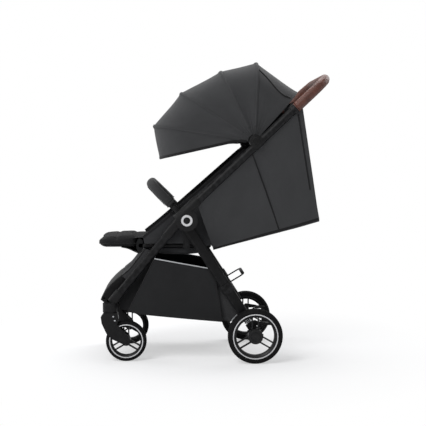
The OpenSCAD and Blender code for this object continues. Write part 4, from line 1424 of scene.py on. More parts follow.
@dataclass
class Seat:
    """Seat, backrest and calf rest padding, and the harness on it."""

    def build(self) -> None:
        """Make the three pads, then lay the harness on them."""
        self.seat = self.flat_pad("seat_cushion", "seat_pad", "front_frame", 0.014, fill=0.55,
                                  across=(-0.12,), along=(-0.075, 0.075))
        sink = 0.0088
        self.flat_pad("calf_cushion", "calf_pad", "calf_rest", 0.030, sink, across=(-0.345,), rise=sink * 0.8,
                      nose=sink * 1.4, boards=("calf_board",))
        turn = Matrix.Translation(PLAN.back(0.0)) @ Matrix.Rotation(-PLAN.back_slope, 4, "Y")
        low, high = Vector((0.014, -0.148, 0.0157)), Vector((0.384, 0.148, 0.0333))
        self.back = Pad("back_cushion", "backrest_pad", "backrest", 0.016, turn, low, high, (0.13, 0.255),
                        (-0.09, 0.09), 0.55)
        self.back.build()
        self.shoulder_straps()
        self.waist_straps()

    def flat_pad(self, name: str, node: str, body: str, corner: float, sink: float = 0.0,
                 **rest: object) -> Pad:
        """Make a level pad from its solid's box, its underside sunk round its board, and return it."""
        low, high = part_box(node)
        low.z -= sink
        pad = Pad(name, node, body, corner, Matrix.Identity(4), low, high, **rest)
        pad.build()
        return pad

    def shoulder_straps(self) -> None:
        """Lay both shoulder straps with their soft sleeves on the backrest."""
        straps, sleeves = [], []
        for side in Side:
            y = side.value * 0.058
            places = [(0.022, side.value * 0.02), (0.07, y * 0.8), (0.15, y), (0.25, y), (0.318, y)]
            straps.append(self.back.band("strap", places, band_profile(0.026, 0.0016), 0.0012))
            soft = [(u, h + (0.0030 if h > 0 else 0.0)) for u, h in band_profile(0.044, 0.0045, 0.0022)]
            sleeves.append(self.back.band("sleeve", [(0.135, y), (0.19, y), (0.26, y)], soft, 0.004))
        dress(joined("shoulder_webbing", straps), WEBBING, "backrest", ["shoulder_straps"])
        pads = joined("shoulder_sleeves", sleeves)
        rounder(pads)
        dress(pads, SEAT_CLOTH, "backrest")

    def waist_straps(self) -> None:
        """Lay the waist and crotch straps on the seat, and the recline strap behind the backrest."""
        waist = band_profile(0.025, 0.0016)
        straps = [self.seat.band("waist", [(x, side.value * y) for x, y in ((-0.112, 0.021), (-0.075, 0.065),
                                                                            (-0.030, 0.118))], waist, 0.0012)
                  for side in Side]
        straps.append(self.seat.band("crotch", [(-0.218, 0.0), (-0.18, 0.0), (-0.146, 0.0)],
                                     band_profile(0.028, 0.0018), 0.0012))
        dress(joined("waist_webbing", straps), WEBBING, "front_frame", ["lap_straps"])
        height, half = 0.3025, 0.145
        path = [PLAN.back(height, b, y) for b, y in ((-0.0006, -half), (-0.0016, 0.0), (-0.0006, half))]
        down = (PLAN.back(0, -1) - PLAN.back(0, 0)).normalized()
        strap = run_along("recline_webbing", curved(path, 40), down, waist)
        dress(strap, WEBBING, "backrest", ["recline_strap"])
        path = [PLAN.back(height, -0.006, y) for y in (-0.022, -0.018, 0.018, 0.022)]
        dress(run_along("recline_toggle", path, down, round_profile(0.013, 12, 0.32)), PLASTIC, "backrest")


# ---------- hood, curtains and basket ----------


def weigh(obj: Piece,
          share: Callable[[Vector], float]) -> Piece:
    """Put a piece's place into its mesh and work out each point's share between two bodies, which nothing uses.

    Args:
        obj: The finished piece.
        share: Gives a point's share.

    Returns:
        The piece.
    """
    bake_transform(obj)
    values = [min(1.0, max(0.0, share(v.co))) for v in obj.data.vertices]
    return obj


def declare(obj: Piece, grid: Grid,
            size: tuple[float, float] | None = None) -> Piece:
    """Work out the flat cut that a sheet's grid of points needs; nothing is done with it.

    Args:
        obj: The sheet.
        grid: The points that it was made through.
        size: Width and length of the cut, where the longest row and column don't give them.

    Returns:
        The sheet.
    """
    width = max(sum((b - a).length for a, b in zip(row, row[1:])) for row in grid)
    length = max(sum((b - a).length for a, b in zip(column, column[1:])) for column in zip(*grid))
    width, length = size or (width, length)
    return obj


@dataclass(frozen=True)
class Bow:
    """One bow of the hood, or its rear edge."""

    body: str
    turn: float
    reach: float


@dataclass
class Hood:
    """The hood: five panels of cloth between its bows, their channels, seams and bindings."""

    pivot: Vector = field(default_factory=lambda: PLAN.hood_pivot)
    half: float = 0.2030
    bend: float = 0.105
    root: float = 0.024
    sags: tuple[float, ...] = (0.0195, 0.009, 0.014, 0.012, 0.0045)
    lift: float = 0.016
    bows: tuple[Bow, ...] = (
        Bow("push_frame", 50.0, 0.235), Bow("hood_rear", 87.7, 0.276), Bow("hood_upper", 115.2, 0.271),
        Bow("hood_middle", 146.5, 0.306), Bow("hood_front", 171.2, 0.354), Bow("visor", 189.9, 0.334))
    panels: tuple[str, ...] = ("rear", "upper", "middle", "front", "visor")

    def build(self) -> None:
        """Build every panel, then what is sewn to the bows and edges."""
        for number, name in enumerate(self.panels):
            self.panel(number, name)
        for bow in self.bows[1:-1]:
            self.channel(bow)
        self.front_binding()
        self.rear_binding()

    def at(self, turn: float, r: float, y: float) -> Vector:
        """Find a point from its turn in degrees and distance about the hood's pivot."""
        a = math.radians(turn)
        return self.pivot + Vector((r * math.cos(a), y, r * math.sin(a)))

    def turn_of(self, point: Vector) -> float:
        """Return a point's turn about the pivot in degrees."""
        turn = math.degrees(math.atan2(point.z - self.pivot.z, point.x - self.pivot.x))
        return turn + 360 if turn < -90 else turn

    def section(self, reach: float, pull: float, root: float) -> list[tuple[float, float, float, float]]:
        """Trace the cloth from side to side at one turn.

        Args:
            reach: Distance of the top from the pivot.
            pull: How far the sides are drawn in.
            root: Where the cloth starts near the pivot.

        Returns:
            Each point's distance from the pivot and place across, and its outward direction likewise.
        """
        bend = self.bend
        side, arc, top = 9, 14, 6
        quarter = []
        for i in range(side):
            r = root + (reach - bend - root) * i / side
            inward = pull * math.sin(math.pi * min(1.0, r / (reach - bend)) * 0.5)
            quarter.append((r, self.half - inward, 0.0, 1.0))
        for i in range(arc):
            a = math.pi / 2 * i / (arc - 1)
            inward = pull * math.cos(a)
            quarter.append((reach - bend + bend * math.sin(a), self.half - bend + bend * math.cos(a) - inward,
                            math.sin(a), math.cos(a)))
        quarter += [(reach, (self.half - bend) * (1 - i / top), 1.0, 0.0) for i in range(1, top)]
        return [*quarter, (reach, 0.0, 1.0, 0.0), *((r, -y, u, -v) for r, y, u, v in reversed(quarter))]

    def reach(self, number: int, t: float) -> float:
        """Return how far the top of a panel lies from the pivot at a share of the way between its bows."""
        belly = math.sin(math.pi * min(1.0, max(0.0, t)))
        taut = lerp(self.bows[number].reach, self.bows[number + 1].reach, t) + 0.0015
        return taut - self.sags[number] * belly ** 0.8

    def panel(self, number: int, name: str) -> None:
        """Stretch one panel between two bows."""
        a, b = self.bows[number], self.bows[number + 1]
        steps, grid = 14, []
        for i in range(steps + 1):
            t = i / steps
            belly = math.sin(math.pi * t)
            reach = self.reach(number, t)
            row = []
            for r, y, u, v in self.section(reach, 0.004 * belly, self.root):
                turn = lerp(a.turn + 0.1, b.turn - 0.1, t)
                if name == "rear":
                    turn -= 2.4 * (1 - t) ** 3
                if name == "visor":
                    turn -= t * t * self.raised(r, reach)
                spot = Vector((r * 16, y * 16, turn * 0.05 + 7 * number))
                wave = belly * min(1.0, r / 0.12) * 0.0016 * noise.noise(spot)
                pleat = belly * max(0.0, 1 - r / 0.15) * 0.0012 * math.sin(turn * 0.75)
                shift = wave + (pleat if abs(v) > 0.5 else 0.0)
                row.append(self.at(turn, r + u * shift, y + v * shift))
            grid.append(row)
        sheet = cloth_sheet(f"hood_cloth_{name}", grid, self.pivot + UP * 0.05)
        dress(sheet, HOOD_CLOTH, nodes=[f"hood_panel_{name}"])
        declare(sheet, grid)
        self.fan(sheet, a, b)

    def raised(self, r: float, reach: float) -> float:
        """Return how far, in degrees, the visor's edge is drawn up at a distance from the pivot."""
        rise = min(self.lift * max(0.0, 1 - r / reach), 0.2 * r)
        return math.degrees(rise / r)

    def fan(self, obj: Piece, a: Bow, b: Bow) -> Piece:
        """Put a piece's place into its mesh; each point's share of the turn between two bows is worked out but
        not used.
        """
        return weigh(obj, lambda p: (self.turn_of(p) - a.turn) / (b.turn - a.turn))

    def rim(self, turn: float, reach: float, lift: float, root: float) -> tuple[list[Vector], list[Vector]]:
        """Follow the cloth's outer face at one turn, with its outward direction."""
        points, normals = [], []
        for r, y, u, v in self.section(reach + 0.0022, 0.0, root):
            a = math.radians(turn)
            normal = Vector((u * math.cos(a), v, u * math.sin(a)))
            shift = self.raised(r, reach) if turn == self.bows[-1].turn else 0.0
            points.append(self.at(turn - shift, r, y) + normal * lift)
            normals.append(normal)
        return points, normals

    def channel(self, bow: Bow) -> None:
        """Sew the channel of one bow: a ribbon with a ridge and a row of stitches on each side."""
        points, normals = self.rim(bow.turn, bow.reach, 0.0004, 0.052)
        ridge = [(0.0058, 0.0), (0.0050, 0.0005), (0.0030, 0.0010), (0.0014, 0.0021), (0.0, 0.0025),
                 (-0.0014, 0.0021), (-0.0030, 0.0010), (-0.0050, 0.0005), (-0.0058, 0.0), (-0.0030, -0.0006),
                 (0.0030, -0.0006)]
        ribbon = run_along(f"channel_{bow.body}", points, normals, ridge)
        dress(ribbon, HOOD_CLOTH, bow.body)
        rows = []
        for offset in (-0.0042, 0.0042):
            row = [p + side * offset + up * 0.0007 for p, side, up in run_frames(points, normals)]
            rows.append(stitches("row", row, normals, 0.0062, 0.0042, 0.00045))
        dress(joined(f"channel_stitches_{bow.body}", rows), THREAD, bow.body)

    def front_binding(self) -> None:
        """Bind the visor's front edge with tape, with a small tab on it."""
        bow = self.bows[-1]
        points, normals = self.rim(bow.turn, bow.reach, -0.0008, 0.030)
        wrap = [(0.0052, 0.0), (0.0048, 0.0014), (0.0020, 0.0019), (-0.0020, 0.0019), (-0.0048, 0.0014),
                (-0.0052, 0.0), (-0.0048, -0.0014), (-0.0020, -0.0019), (0.0020, -0.0019), (0.0048, -0.0014)]
        dress(run_along("visor_binding", points, normals, wrap), TAPE, bow.body)
        points, normals = self.rim(bow.turn, bow.reach, -0.0042, 0.016)
        rod = run_along("visor_bow", points, normals, band_profile(0.008, 0.0028))
        dress(rod, PLASTIC, bow.body, ["bow_visor"])
        seam = [p + s * 0.0030 + u * 0.0021 for p, s, u in run_frames(points, normals)]
        dress(stitches("visor_binding_stitches", seam, normals, 0.006, 0.004, 0.0004), THREAD, bow.body)

    def surface_y(self, r: float, reach: float) -> float:
        """Return how far out the cloth lies at a distance from the pivot."""
        over = max(0.0, r - (reach - self.bend))
        return self.half - self.bend + math.sqrt(max(0.0, self.bend ** 2 - over ** 2))

    def rear_binding(self) -> None:
        """Sew the curved black edge on both sides of the rear panel."""
        a, b = self.bows[0], self.bows[1]
        marks = [(87.2, 0.252), (82.0, 0.235), (70.0, 0.202), (59.0, 0.189), (50.5, 0.1946)]
        for side in Side:
            path, normals = [], []
            for mark in curved(flat(*((turn, r * 100) for turn, r in marks)), 44):
                turn, r = mark.x, mark.z / 100
                t = (turn - a.turn) / (b.turn - a.turn)
                belly = math.sin(math.pi * min(1.0, max(0.0, t)))
                reach = self.reach(0, t)
                y = self.surface_y(r, reach)
                over = max(0.0, r - (reach - self.bend)) / self.bend
                out, up = math.sqrt(max(0.0, 1 - over ** 2)), min(1.0, over)
                angle = math.radians(turn)
                normal = Vector((up * math.cos(angle), side.value * out, up * math.sin(angle))).normalized()
                y -= 0.004 * belly * out
                path.append(self.at(turn, r, side.value * y) + normal * 0.0014)
                normals.append(normal)
            tape = run_along(f"rear_edge_{side.word}", path, normals, band_profile(0.008, 0.0012, 0.0012))
            self.fan(dress(tape, TAPE), a, b)


@dataclass
class Curtains:
    """The cloth that closes the gap between the push arms and the backrest."""

    steps: int = 30
    start: float = 0.060
    top_up: float = -0.0146
    low_up: float = -0.009
    crease: tuple[float, float] = (0.524, 0.627)

    def build(self) -> None:
        """Hang both side curtains, the rear curtain and its flap."""
        for side in Side:
            self.side(side)
        self.rear()

    def edges(self, t: float, side: Side) -> tuple[Vector, Vector]:
        """Find the top and bottom of a side curtain at a share of its length."""
        up = min(self.top_up, self.top_up * (1.3 - 5 * t))
        top = PLAN.arm(lerp(self.start, 0.556, t), up, side.value * 0.228)
        low = PLAN.back(lerp(-0.004, 0.382, t), self.low_up * (1 + min(1.0, 1.25 * t)), side.value * 0.1585)
        return top, low

    def share(self, point: Vector) -> float:
        """Return how far a point lies from the push arm towards the backrest."""
        a, b = PLAN.arm(0, self.top_up), PLAN.arm(1, self.top_up)
        c, d = PLAN.back(0, self.low_up), PLAN.back(1, self.low_up)
        ahead, along = b - a, d - c
        to_arm = abs(ahead.x * (point.z - a.z) - ahead.z * (point.x - a.x))
        to_back = abs(along.x * (point.z - c.z) - along.z * (point.x - c.x))
        return to_arm / max(to_arm + to_back, 1e-9)

    def hang(self, obj: Piece) -> Piece:
        """Put a piece's place into its mesh; each point's share between the push arms and the backrest is worked
        out but not used.
        """
        ends = (PLAN.arm(0.3, 0), PLAN.back(0.2, 0))
        return weigh(obj, self.share)

    def side_point(self, t: float, u: float, side: Side, lift: float = 0.0) -> Vector:
        """Find a point of a side curtain.

        Args:
            t: Share of its length, from the fold hub to the handle.
            u: Share of its height, from the push arm down.
            side: Which side.
            lift: Height above its face.

        Returns:
            The point.
        """
        top, low = self.edges(t, side)
        point = top.lerp(low, u)
        belly = math.sin(math.pi * u) * math.sin(math.pi * min(1.0, t * 1.15))
        crease = t - lerp(*self.crease, u)
        pull = 0.004 * math.exp(-((crease / 0.018) ** 2)) * math.sin(math.pi * min(1.0, u + 0.12))
        folds = 0.0035 * math.sin(13 * t + 2.2 * u) + 0.0028 * noise.noise(Vector((t * 7, u * 3, 2.0)))
        shift = belly * (0.006 + folds) - pull - lift
        return point - ACROSS * side.value * shift

    def side(self, side: Side) -> None:
        """Hang one side curtain, with its rear seam, its dark lower edge and dark tape along the crease as
        painted shade.
        """
        rows, cols = self.steps, 14
        grid = [[self.side_point(i / rows, j / cols, side) for j in range(cols + 1)] for i in range(rows + 1)]
        sheet = cloth_sheet(f"side_curtain_{side.word}", grid, Vector((0.15, 0, 0.6)))
        dress(sheet, HOOD_CLOTH, nodes=["side_curtains"] if side is Side.LEFT else [])
        self.hang(declare(sheet, grid))
        out = ACROSS * side.value
        # Painted shade: this path runs down the crease, where the fold's shadow falls, and is covered with dark
        # tape.
        seam = [self.side_point(lerp(*self.crease, u), u, side, 0.0009) for u in (i / 30 for i in range(31))]
        rear = [self.side_point(lerp(0.955, 0.963, u), u, side, 0.0008)
                for u in (0.02 + i * 0.68 / 30 for i in range(31))]
        edge = [self.side_point(i / 60, 0.975, side, 0.0006) for i in range(61)]
        # The tape named seam is painted shade along the crease, not a sewn seam.
        for name, path, width in (("seam", seam, 0.0055), ("rear", rear, 0.006), ("edge", edge, 0.010)):
            tape = run_along(f"curtain_{name}_{side.word}", path, out, band_profile(width, 0.0012, 0.0006))
            self.hang(dress(tape, TAPE))

    def rear_point(self, t: float, s: float, lift: float = 0.0) -> Vector:
        """Find a point of the rear curtain.

        Args:
            t: Share of its height, from the handle down.
            s: Place across, from -1 to 1.
            lift: Height above its face.

        Returns:
            The point.
        """
        top, low = PLAN.arm(0.552, 0.018), PLAN.back(0.38835, -0.008)
        point = top.lerp(low, t)
        half = lerp(0.195, 0.152, t)
        belly = math.sin(math.pi * t)
        folds = 0.0022 * belly * noise.noise(Vector((t * 4, s * 5, 8.0)))
        middle = Vector((point.x + 0.0007 + 0.004 * belly + folds + lift, s * half, point.z))
        edge = self.side_point(1.0, t, Side.RIGHT if s > 0 else Side.LEFT)
        return middle.lerp(edge, max(0.0, (abs(s) - 0.8) / 0.2) ** 2)

    def rear(self) -> None:
        """Hang the rear curtain and the flap that covers its window."""
        rows, cols = 24, 20
        across = [2 * j / cols - 1 for j in range(cols + 1)]
        grid = [[self.rear_point(i / rows, s) for s in across] for i in range(rows + 1)]
        inner = Vector((0.1, 0, 0.7))
        sheet = dress(cloth_sheet("rear_curtain_cloth", grid, inner), HOOD_CLOTH, nodes=["rear_curtain"])
        self.hang(declare(sheet, grid))
        flap = []
        for i in range(23):
            t = lerp(0.03, 0.735, i / 22)
            proud = min(0.0205 - 0.0235 * t, 0.003 + 0.2 * (t - 0.03)) + 0.0009 * math.sin(i * 0.9)
            flap.append([self.rear_point(t, 0.78 * (2 * j / 16 - 1), proud) for j in range(17)])
        cover = dress(cloth_sheet("window_flap", flap, inner), HOOD_CLOTH)
        self.hang(declare(cover, flap))
        border = [*flap[0], *(row[-1] for row in flap[1:]), *flap[-1][-2::-1],
                  *(row[0] for row in flap[-2:0:-1])]
        wrap = band_profile(0.008, 0.0024, 0.0006)
        binding = run_along("window_flap_binding", border, Vector((1, 0, 0.2)), wrap, closed=True)
        self.hang(dress(binding, TAPE))


@dataclass
class Wings:
    """The cloth wings beside the seat, from the seat up to the push arms."""

    inner: float = 0.1657

    def build(self) -> None:
        """Stretch both wings and tape their upper edges."""
        top = curved(flat((-0.252, 0.437), (-0.158, 0.514), (0.106, 0.745)), 31)
        low = curved(flat((-0.248, 0.4138), (-0.125, 0.4136), (-0.003, 0.4145), (-0.050, 0.563),
                          (0.022, 0.635), (0.110, 0.7185)), 31)
        ahead = top[-1] - top[0]
        size = (max(abs(ahead.normalized().cross(p - top[0]).y) for p in low), ahead.length)
        for side in Side:
            out = side.value
            grid = []
            for i, (a, b) in enumerate(zip(low, top)):
                row = []
                for j in range(9):
                    u = j / 8
                    point = a.lerp(b, u)
                    folds = 0.0012 * math.sin(math.pi * u) * noise.noise(Vector((i * 0.3, u * 2, 5.0)))
                    row.append(Vector((point.x, out * (self.inner + folds), point.z)))
                grid.append(row)
            sheet = cloth_sheet(f"seat_wing_{side.word}", grid, Vector((0, 0, 0.5)))
            dress(sheet, WING_CLOTH, nodes=["seat_wings"] if side is Side.LEFT else [])
            self.lean(declare(sheet, grid, size))
            path = [Vector((p.x, out * self.inner, p.z - 0.002)) for p in top]
            profile = band_profile(0.009, 0.0028, 0.0004)
            self.lean(dress(run_along(f"wing_tape_{side.word}", path, ACROSS * out, profile), TAPE))

    def lean(self, obj: Piece) -> Piece:
        """Put a piece's place into its mesh."""
        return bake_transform(obj)


@dataclass
class Basket:
    """The shopping basket: side panels, one strip for front, floor and rear, its toe and its rear flaps."""

    half: float = 0.1915
    nose_half: float = 0.1462
    nose: Profile = ((-0.336, 0.179), (-0.3345, 0.232), (-0.2995, 0.2895), (-0.239, 0.3595))
    flap_y: float = 0.1745
    flap: Profile = ((-0.004, 0.3215), (0.0235, 0.268), (0.027, 0.246), (0.045, 0.240), (0.0615, 0.2355),
                     (0.0955, 0.178), (0.0915, 0.163), (0.055, 0.138), (0.0265, 0.1412))
    rim: Profile = ((-0.212, 0.362), (-0.005, 0.324))
    inner: Vector = field(default_factory=lambda: Vector((-0.12, 0, 0.25)))
    low: Profile = ((-0.304, 0.1785), (-0.272, 0.171), (-0.241, 0.1665), (-0.11, 0.153), (0.025, 0.1405))

    def build(self) -> None:
        """Sew the panels together and pipe the edges."""
        floor = curved(flat(*self.low), 31)
        front, rear = flat(*self.rim)
        for side in Side:
            self.side(side, floor, front, rear)
        self.strip(floor, front, rear)
        self.toe()
        self.flaps()

    def toe(self) -> None:
        """Sew the narrow toe that reaches forward between the front legs."""
        nose = resample(flat(*self.nose), 25)
        wall = resample(flat((-0.303, 0.178), (-0.2145, 0.3585)), 25)
        across = [i / 8 - 1 for i in range(17)]
        middle = Vector((-0.28, 0, 0.25))
        line = [wall[0].lerp(nose[0], i / 4) for i in range(4)] + nose
        bulge = [-0.004 * math.sin(math.pi * i / len(line)) for i in range(len(line))]
        strip = [[p + Vector((x * (1 - s * s), s * self.nose_half, 0)) for s in across]
                 for p, x in zip(line, bulge)]
        pieces = [("basket_toe_front", strip)]
        for side in Side:
            out = ACROSS * side.value
            aside = out * self.nose_half
            grid = [[a.lerp(b, j / 6) + aside for j in range(7)] for a, b in zip(nose, wall)]
            pieces.append((f"basket_toe_{side.word}", grid))
            path = [p + aside for p in line]
            welt = run_along(f"basket_toe_welt_{side.word}", path, out, round_profile(0.0015))
            dress(welt, TAPE, "front_frame")
        for name, grid in pieces:
            sheet = cloth_sheet(name, grid, middle)
            declare(dress(sheet, BASKET_CLOTH, "front_frame"), grid)

    def flaps(self) -> None:
        """Hang the net flaps behind the rear legs, each with a light grey strip near its lower rear corner."""
        wall = resample(flat((-0.0045, 0.321), (0.0255, 0.1415)), 41)
        edge = resample(flat(*self.flap), 41)
        for side in Side:
            out = ACROSS * side.value
            aside = out * self.flap_y
            grid = [[a.lerp(b, j / 8) + aside for j in range(9)] for a, b in zip(wall, edge)]
            sheet = cloth_sheet(f"basket_flap_{side.word}", grid, Vector((0.04, 0, 0.2)))
            self.bend(declare(dress(sheet, NET_CLOTH), grid))
            path = [p + aside for p in edge]
            hem = run_along(f"basket_flap_hem_{side.word}", path, out, round_profile(0.0014))
            self.bend(dress(hem, TAPE))
            # A short light grey strip in the reflective finish, near the top of the rear wheel.
            path = [p + aside + out * 0.0014 for p in resample(flat((0.057, 0.1405), (0.0775, 0.162)), 8)]
            strip = run_along(f"basket_flap_strip_{side.word}", path, out, band_profile(0.0036, 0.0008))
            self.bend(dress(strip, REFLECTIVE))

    def bend(self, obj: Piece) -> Piece:
        """Put a piece's place into its mesh."""
        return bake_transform(obj)

    def side(self, side: Side, floor: Sequence[Vector], front: Vector, rear: Vector) -> None:
        """Make one side panel, with its silver piping and corner binding."""
        out, grid = side.value, []
        for i, low in enumerate(floor):
            top = front.lerp(rear, i / (len(floor) - 1))
            row = []
            for j in range(11):
                u = j / 10
                point = low.lerp(top, u)
                belly = math.sin(math.pi * u) * math.sin(math.pi * i / (len(floor) - 1))
                wave = 0.002 * noise.noise(Vector((point.x * 14, point.z * 14, 3.0)))
                row.append(Vector((point.x, out * (self.half - belly * (0.005 + wave)), point.z)))
            grid.append(row)
        sheet = dress(cloth_sheet(f"basket_side_{side.word}", grid, self.inner), BASKET_CLOTH)
        self.bend(declare(sheet, grid))
        path = [front.lerp(rear, i / 40) + Vector((0, out * self.half, 0.0004)) for i in range(41)]
        pipe = run_along(f"basket_piping_{side.word}", path, ACROSS * out, round_profile(0.0021, 10))
        self.bend(dress(pipe, REFLECTIVE))
        corner = [p + ACROSS * out * self.half for p in (front.lerp(floor[0], 0.03), *floor, rear)]
        path = resample(corner, 120)
        welt = run_along(f"basket_welt_{side.word}", path, ACROSS * out, round_profile(0.0017))
        self.bend(dress(welt, TAPE))

    def strip(self, floor: Sequence[Vector], front: Vector, rear: Vector) -> None:
        """Make the strip that forms the front, floor and rear."""
        walls = 12
        line = [front.lerp(floor[0], i / walls) for i in range(walls)] + list(floor)
        line += [floor[-1].lerp(rear, i / walls) for i in range(1, walls + 1)]
        grid = []
        for i, point in enumerate(line):
            share = i / (len(line) - 1)
            row = []
            for j in range(21):
                s = 2 * j / 20 - 1
                belly = (1 - s * s) * math.sin(math.pi * min(1.0, max(0.0, share)))
                wave = 0.003 * noise.noise(Vector((share * 9, s * 3, 6.0)))
                ahead = -0.003 * belly if share < 0.3 else (0.0022 * belly if share > 0.72 else 0.0)
                drop = 0.004 * belly if 0.25 < share < 0.8 else 0.0
                row.append(Vector((point.x - ahead + wave * belly * 0.5, s * (self.half - 0.0006),
                                   point.z + drop + wave * belly)))
            grid.append(row)
        sheet = dress(cloth_sheet("basket_strip", grid, self.inner), BASKET_CLOTH, nodes=["basket"])
        self.bend(declare(sheet, grid))
        for name, end in (("front", front), ("rear", rear)):
            row = [end + ACROSS * s * (self.half - 0.001) for s in (-1, -0.5, 0, 0.5, 1)]
            hem = run_along(f"basket_hem_{name}", curved(row, 40), UP, band_profile(0.004, 0.010))
            self.bend(dress(hem, TAPE))


@dataclass
class Apron:
    """The cloth about the seat's front edge: foot net, knee cloth and the sling under the seat."""

    half: float = 0.1484
    knee_half: float = 0.141

    def build(self) -> None:
        """Stretch each cloth in turn."""
        self.net()
        self.knee("knee_cloth", (-0.290, 0.4300), (-0.275, 0.4320), (-0.2635, 0.4325), (-0.252, 0.4325),
                  (-0.240, 0.4310))
        self.knee("knee_under_cloth", (-0.330, 0.3985), (-0.304, 0.3925), (-0.284, 0.3830), (-0.2665, 0.3755))
        path = [Vector((-0.2645, y * 0.0142, 0.4035)) for y in range(-10, 11)]
        roll = run_along("knee_roll", path, UP, round_profile(0.0125, 16, 2.0))
        dress(roll, SEAT_CLOTH)
        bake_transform(roll)
        self.sling()

    def net(self) -> None:
        """Stretch the net from the foot plate to the seat, with its side flaps and bound edges."""
        front = resample(flat((-0.3290, 0.2975), (-0.3010, 0.3200), (-0.2570, 0.3750), (-0.2450, 0.3945)), 17)
        inner = resample(flat((-0.3132, 0.2855), (-0.2927, 0.2966), (-0.2222, 0.3857)), 17)
        grid = []
        for i, point in enumerate(front):
            sag = [0.004 * (1 - (j / 8 - 1) ** 2) * math.sin(math.pi * i / 16) for j in range(17)]
            grid.append([Vector((point.x + v, (j / 8 - 1) * self.half, point.z - v * 0.5))
                         for j, v in enumerate(sag)])
        sheet = cloth_sheet("foot_net", grid, Vector((-0.2, 0, 0.2)), 0.0012)
        declare(dress(sheet, NET_CLOTH, "front_frame", ["foot_apron"]), grid)
        for side in Side:
            out = ACROSS * side.value
            shift = out * self.half
            flap = [[a.lerp(b, j / 5) + shift for j in range(6)] for a, b in zip(front, inner)]
            sheet = cloth_sheet(f"foot_net_flap_{side.word}", flap, Vector((-0.28, 0, 0.33)), 0.0012)
            declare(dress(sheet, NET_CLOTH, "front_frame"), flap)
            for name, line in (("edge", front), ("hem", inner)):
                path = [p + shift for p in line]
                tape = run_along(f"foot_net_{name}_{side.word}", path, out, band_profile(0.004, 0.0022))
                dress(tape, TAPE, "front_frame")

    def knee(self, name: str, *line: tuple[float, float]) -> None:
        """Bridge the gap between the calf rest and the seat with cloth."""
        path = curved(flat(*line), 15)
        grid = [[p + ACROSS * (j / 8 - 1) * self.knee_half for j in range(17)] for p in path]
        sheet = cloth_sheet(name, grid, Vector((-0.262, 0, 0.404)))
        declare(dress(sheet, SEAT_CLOTH), grid)
        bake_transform(sheet)

    def sling(self) -> None:
        """Hang the shallow sling under the seat board."""
        across = ((0.146, 0.0), (0.1462, 0.4), (0.1455, 0.8), (0.139, 1.0), (0.09, 1.04), (0.045, 1.07),
                  (0.0, 1.08))
        profile = [*across, *((-y, drop) for y, drop in across[-2::-1])]
        grid = []
        for i in range(17):
            hang = 0.023 * math.sin(math.pi * i / 16) ** 0.25 if 0 < i < 16 else 0.0
            x = lerp(-0.232, -0.026, i / 16)
            grid.append([Vector((x, y, 0.3950 - hang * drop)) for y, drop in profile])
        sheet = cloth_sheet("seat_sling", grid, Vector((-0.13, 0, 0.41)))
        declare(dress(sheet, WING_CLOTH, "front_frame"), grid)


# ---------- studio ----------


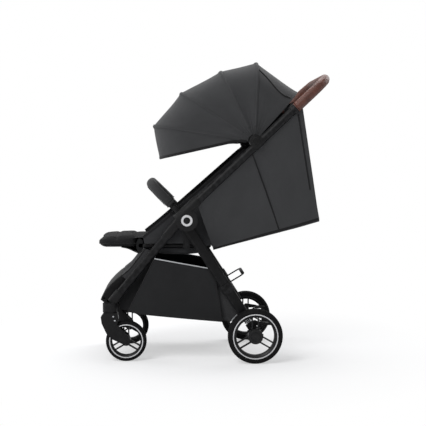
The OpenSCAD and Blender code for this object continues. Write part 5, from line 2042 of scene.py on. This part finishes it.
@dataclass
class Studio:
    """White room: a floor that keeps the soft shadow, soft lights and the camera."""

    eye: Vector = field(default_factory=lambda: Vector((-0.156, -3.689, 0.7206)))
    yaw: float = math.radians(2.42)
    pitch: float = math.radians(3.26)
    lens: float = 85.2
    middle: Vector = field(default_factory=lambda: Vector((-0.05, 0.0, 0.45)))

    def build(self) -> None:
        """Set the whole room up."""
        scene = bpy.context.scene
        scene.view_settings.view_transform = "Standard"
        scene.view_settings.look = "None"
        scene.view_settings.exposure = 0.0
        scene.view_settings.gamma = 1.0
        self.world()
        self.floor()
        self.lights()
        self.camera()

    def world(self) -> None:
        """Make the room white to the eye and in reflections, and dimmer as a light."""
        world = bpy.data.worlds.new("white_room")
        bpy.context.scene.world = world
        world.use_nodes = True
        graph = Graph(world.node_tree)
        rays = graph.node("ShaderNodeLightPath").outputs
        seen = graph.math("ADD", rays["Is Camera Ray"], rays["Is Transmission Ray"], clamp=True)
        fill = graph.node("ShaderNodeBackground", {"Color": (0.95, 0.97, 1.0, 1.0), "Strength": 0.31})
        mirror = graph.node("ShaderNodeBackground", {"Color": (1.0, 1.0, 1.0, 1.0), "Strength": 0.6})
        white = graph.node("ShaderNodeBackground", {"Color": (1.0, 1.0, 1.0, 1.0), "Strength": 1.0})
        first = graph.node("ShaderNodeMixShader",
                           {0: rays["Is Glossy Ray"], 1: fill.outputs[0], 2: mirror.outputs[0]})
        both = graph.node("ShaderNodeMixShader", {0: seen, 1: first.outputs[0], 2: white.outputs[0]})
        graph.node("ShaderNodeOutputWorld", {"Surface": both.outputs[0]})

    def floor(self) -> None:
        """Lay the floor, which turns plain white away from the stroller."""
        clear_selection()
        bpy.ops.mesh.primitive_plane_add(size=14, location=(0, 0, -0.0005))
        floor = bpy.context.object
        floor.name = "floor"
        made = bpy.data.materials.new("white_floor")
        made.use_nodes = True
        graph = Graph(made.node_tree)
        place = graph.node("ShaderNodeTexCoord").outputs["Object"]
        axes = graph.node("ShaderNodeSeparateXYZ", {0: place}).outputs
        x = graph.math("DIVIDE", graph.math("ADD", axes[0], 0.05), 0.95)
        y = graph.math("DIVIDE", graph.math("SUBTRACT", axes[1], 0.1), 1.1)
        squares = graph.math("ADD", graph.math("MULTIPLY", x, x), graph.math("MULTIPLY", y, y))
        away = graph.math("SQRT", squares)
        rays = graph.node("ShaderNodeLightPath").outputs
        clear = graph.math("MULTIPLY", graph.between(away, 0.45, 1.0, 0.47, 1.0), rays["Is Camera Ray"])
        matt = graph.node("ShaderNodeBsdfDiffuse", {"Color": (0.93, 0.93, 0.94, 1.0), "Roughness": 0.6})
        white = graph.node("ShaderNodeEmission", {"Color": (1.0, 1.0, 1.0, 1.0), "Strength": 1.0})
        mixed = graph.node("ShaderNodeMixShader", {0: clear, 1: matt.outputs[0], 2: white.outputs[0]})
        graph.node("ShaderNodeOutputMaterial", {"Surface": mixed.outputs[0]})
        floor.data.materials.append(made)

    def lights(self) -> None:
        """Hang the soft lights."""
        for name, place, power, size in (
                ("key_light", (-1.5, -2.2, 2.6), 57.0, 1.6), ("top_light", (0.1, 0.8, 2.9), 48.0, 1.8),
                ("rear_light", (1.9, 1.4, 2.0), 24.0, 1.4), ("front_light", (-2.6, 0.3, 1.2), 18.0, 1.2)):
            data = bpy.data.lights.new(name, "AREA")
            data.energy, data.size = power, size
            light = bpy.data.objects.new(name, data)
            light.location = place
            light.rotation_euler = (self.middle - Vector(place)).to_track_quat("-Z", "Y").to_euler()
            bpy.context.scene.collection.objects.link(light)

    def camera(self) -> None:
        """Place the camera."""
        data = bpy.data.cameras.new("camera")
        data.lens, data.sensor_width = self.lens, 36.0
        camera = bpy.data.objects.new("camera", data)
        camera.location = self.eye
        camera.rotation_euler = (math.pi / 2 - self.pitch, 0.0, -self.yaw)
        bpy.context.scene.collection.objects.link(camera)
        bpy.context.scene.camera = camera


def main() -> None:
    """Build the whole stroller in order, then the room."""
    logging.basicConfig(level=logging.INFO, format="%(name)s: %(message)s")
    parts = [Tubes(), Fittings(), *(Wheel(end, side) for end in ("front", "rear") for side in Side),
             *(Fork(side) for side in Side), Handle(), Bumper(), Seat(), Hood(), Curtains(), Wings(),
             Basket(), Apron()]
    for part in parts:
        part.build()
        log.info("%s built", type(part).__name__)
    Studio().build()


if __name__ == "__main__":
    main()
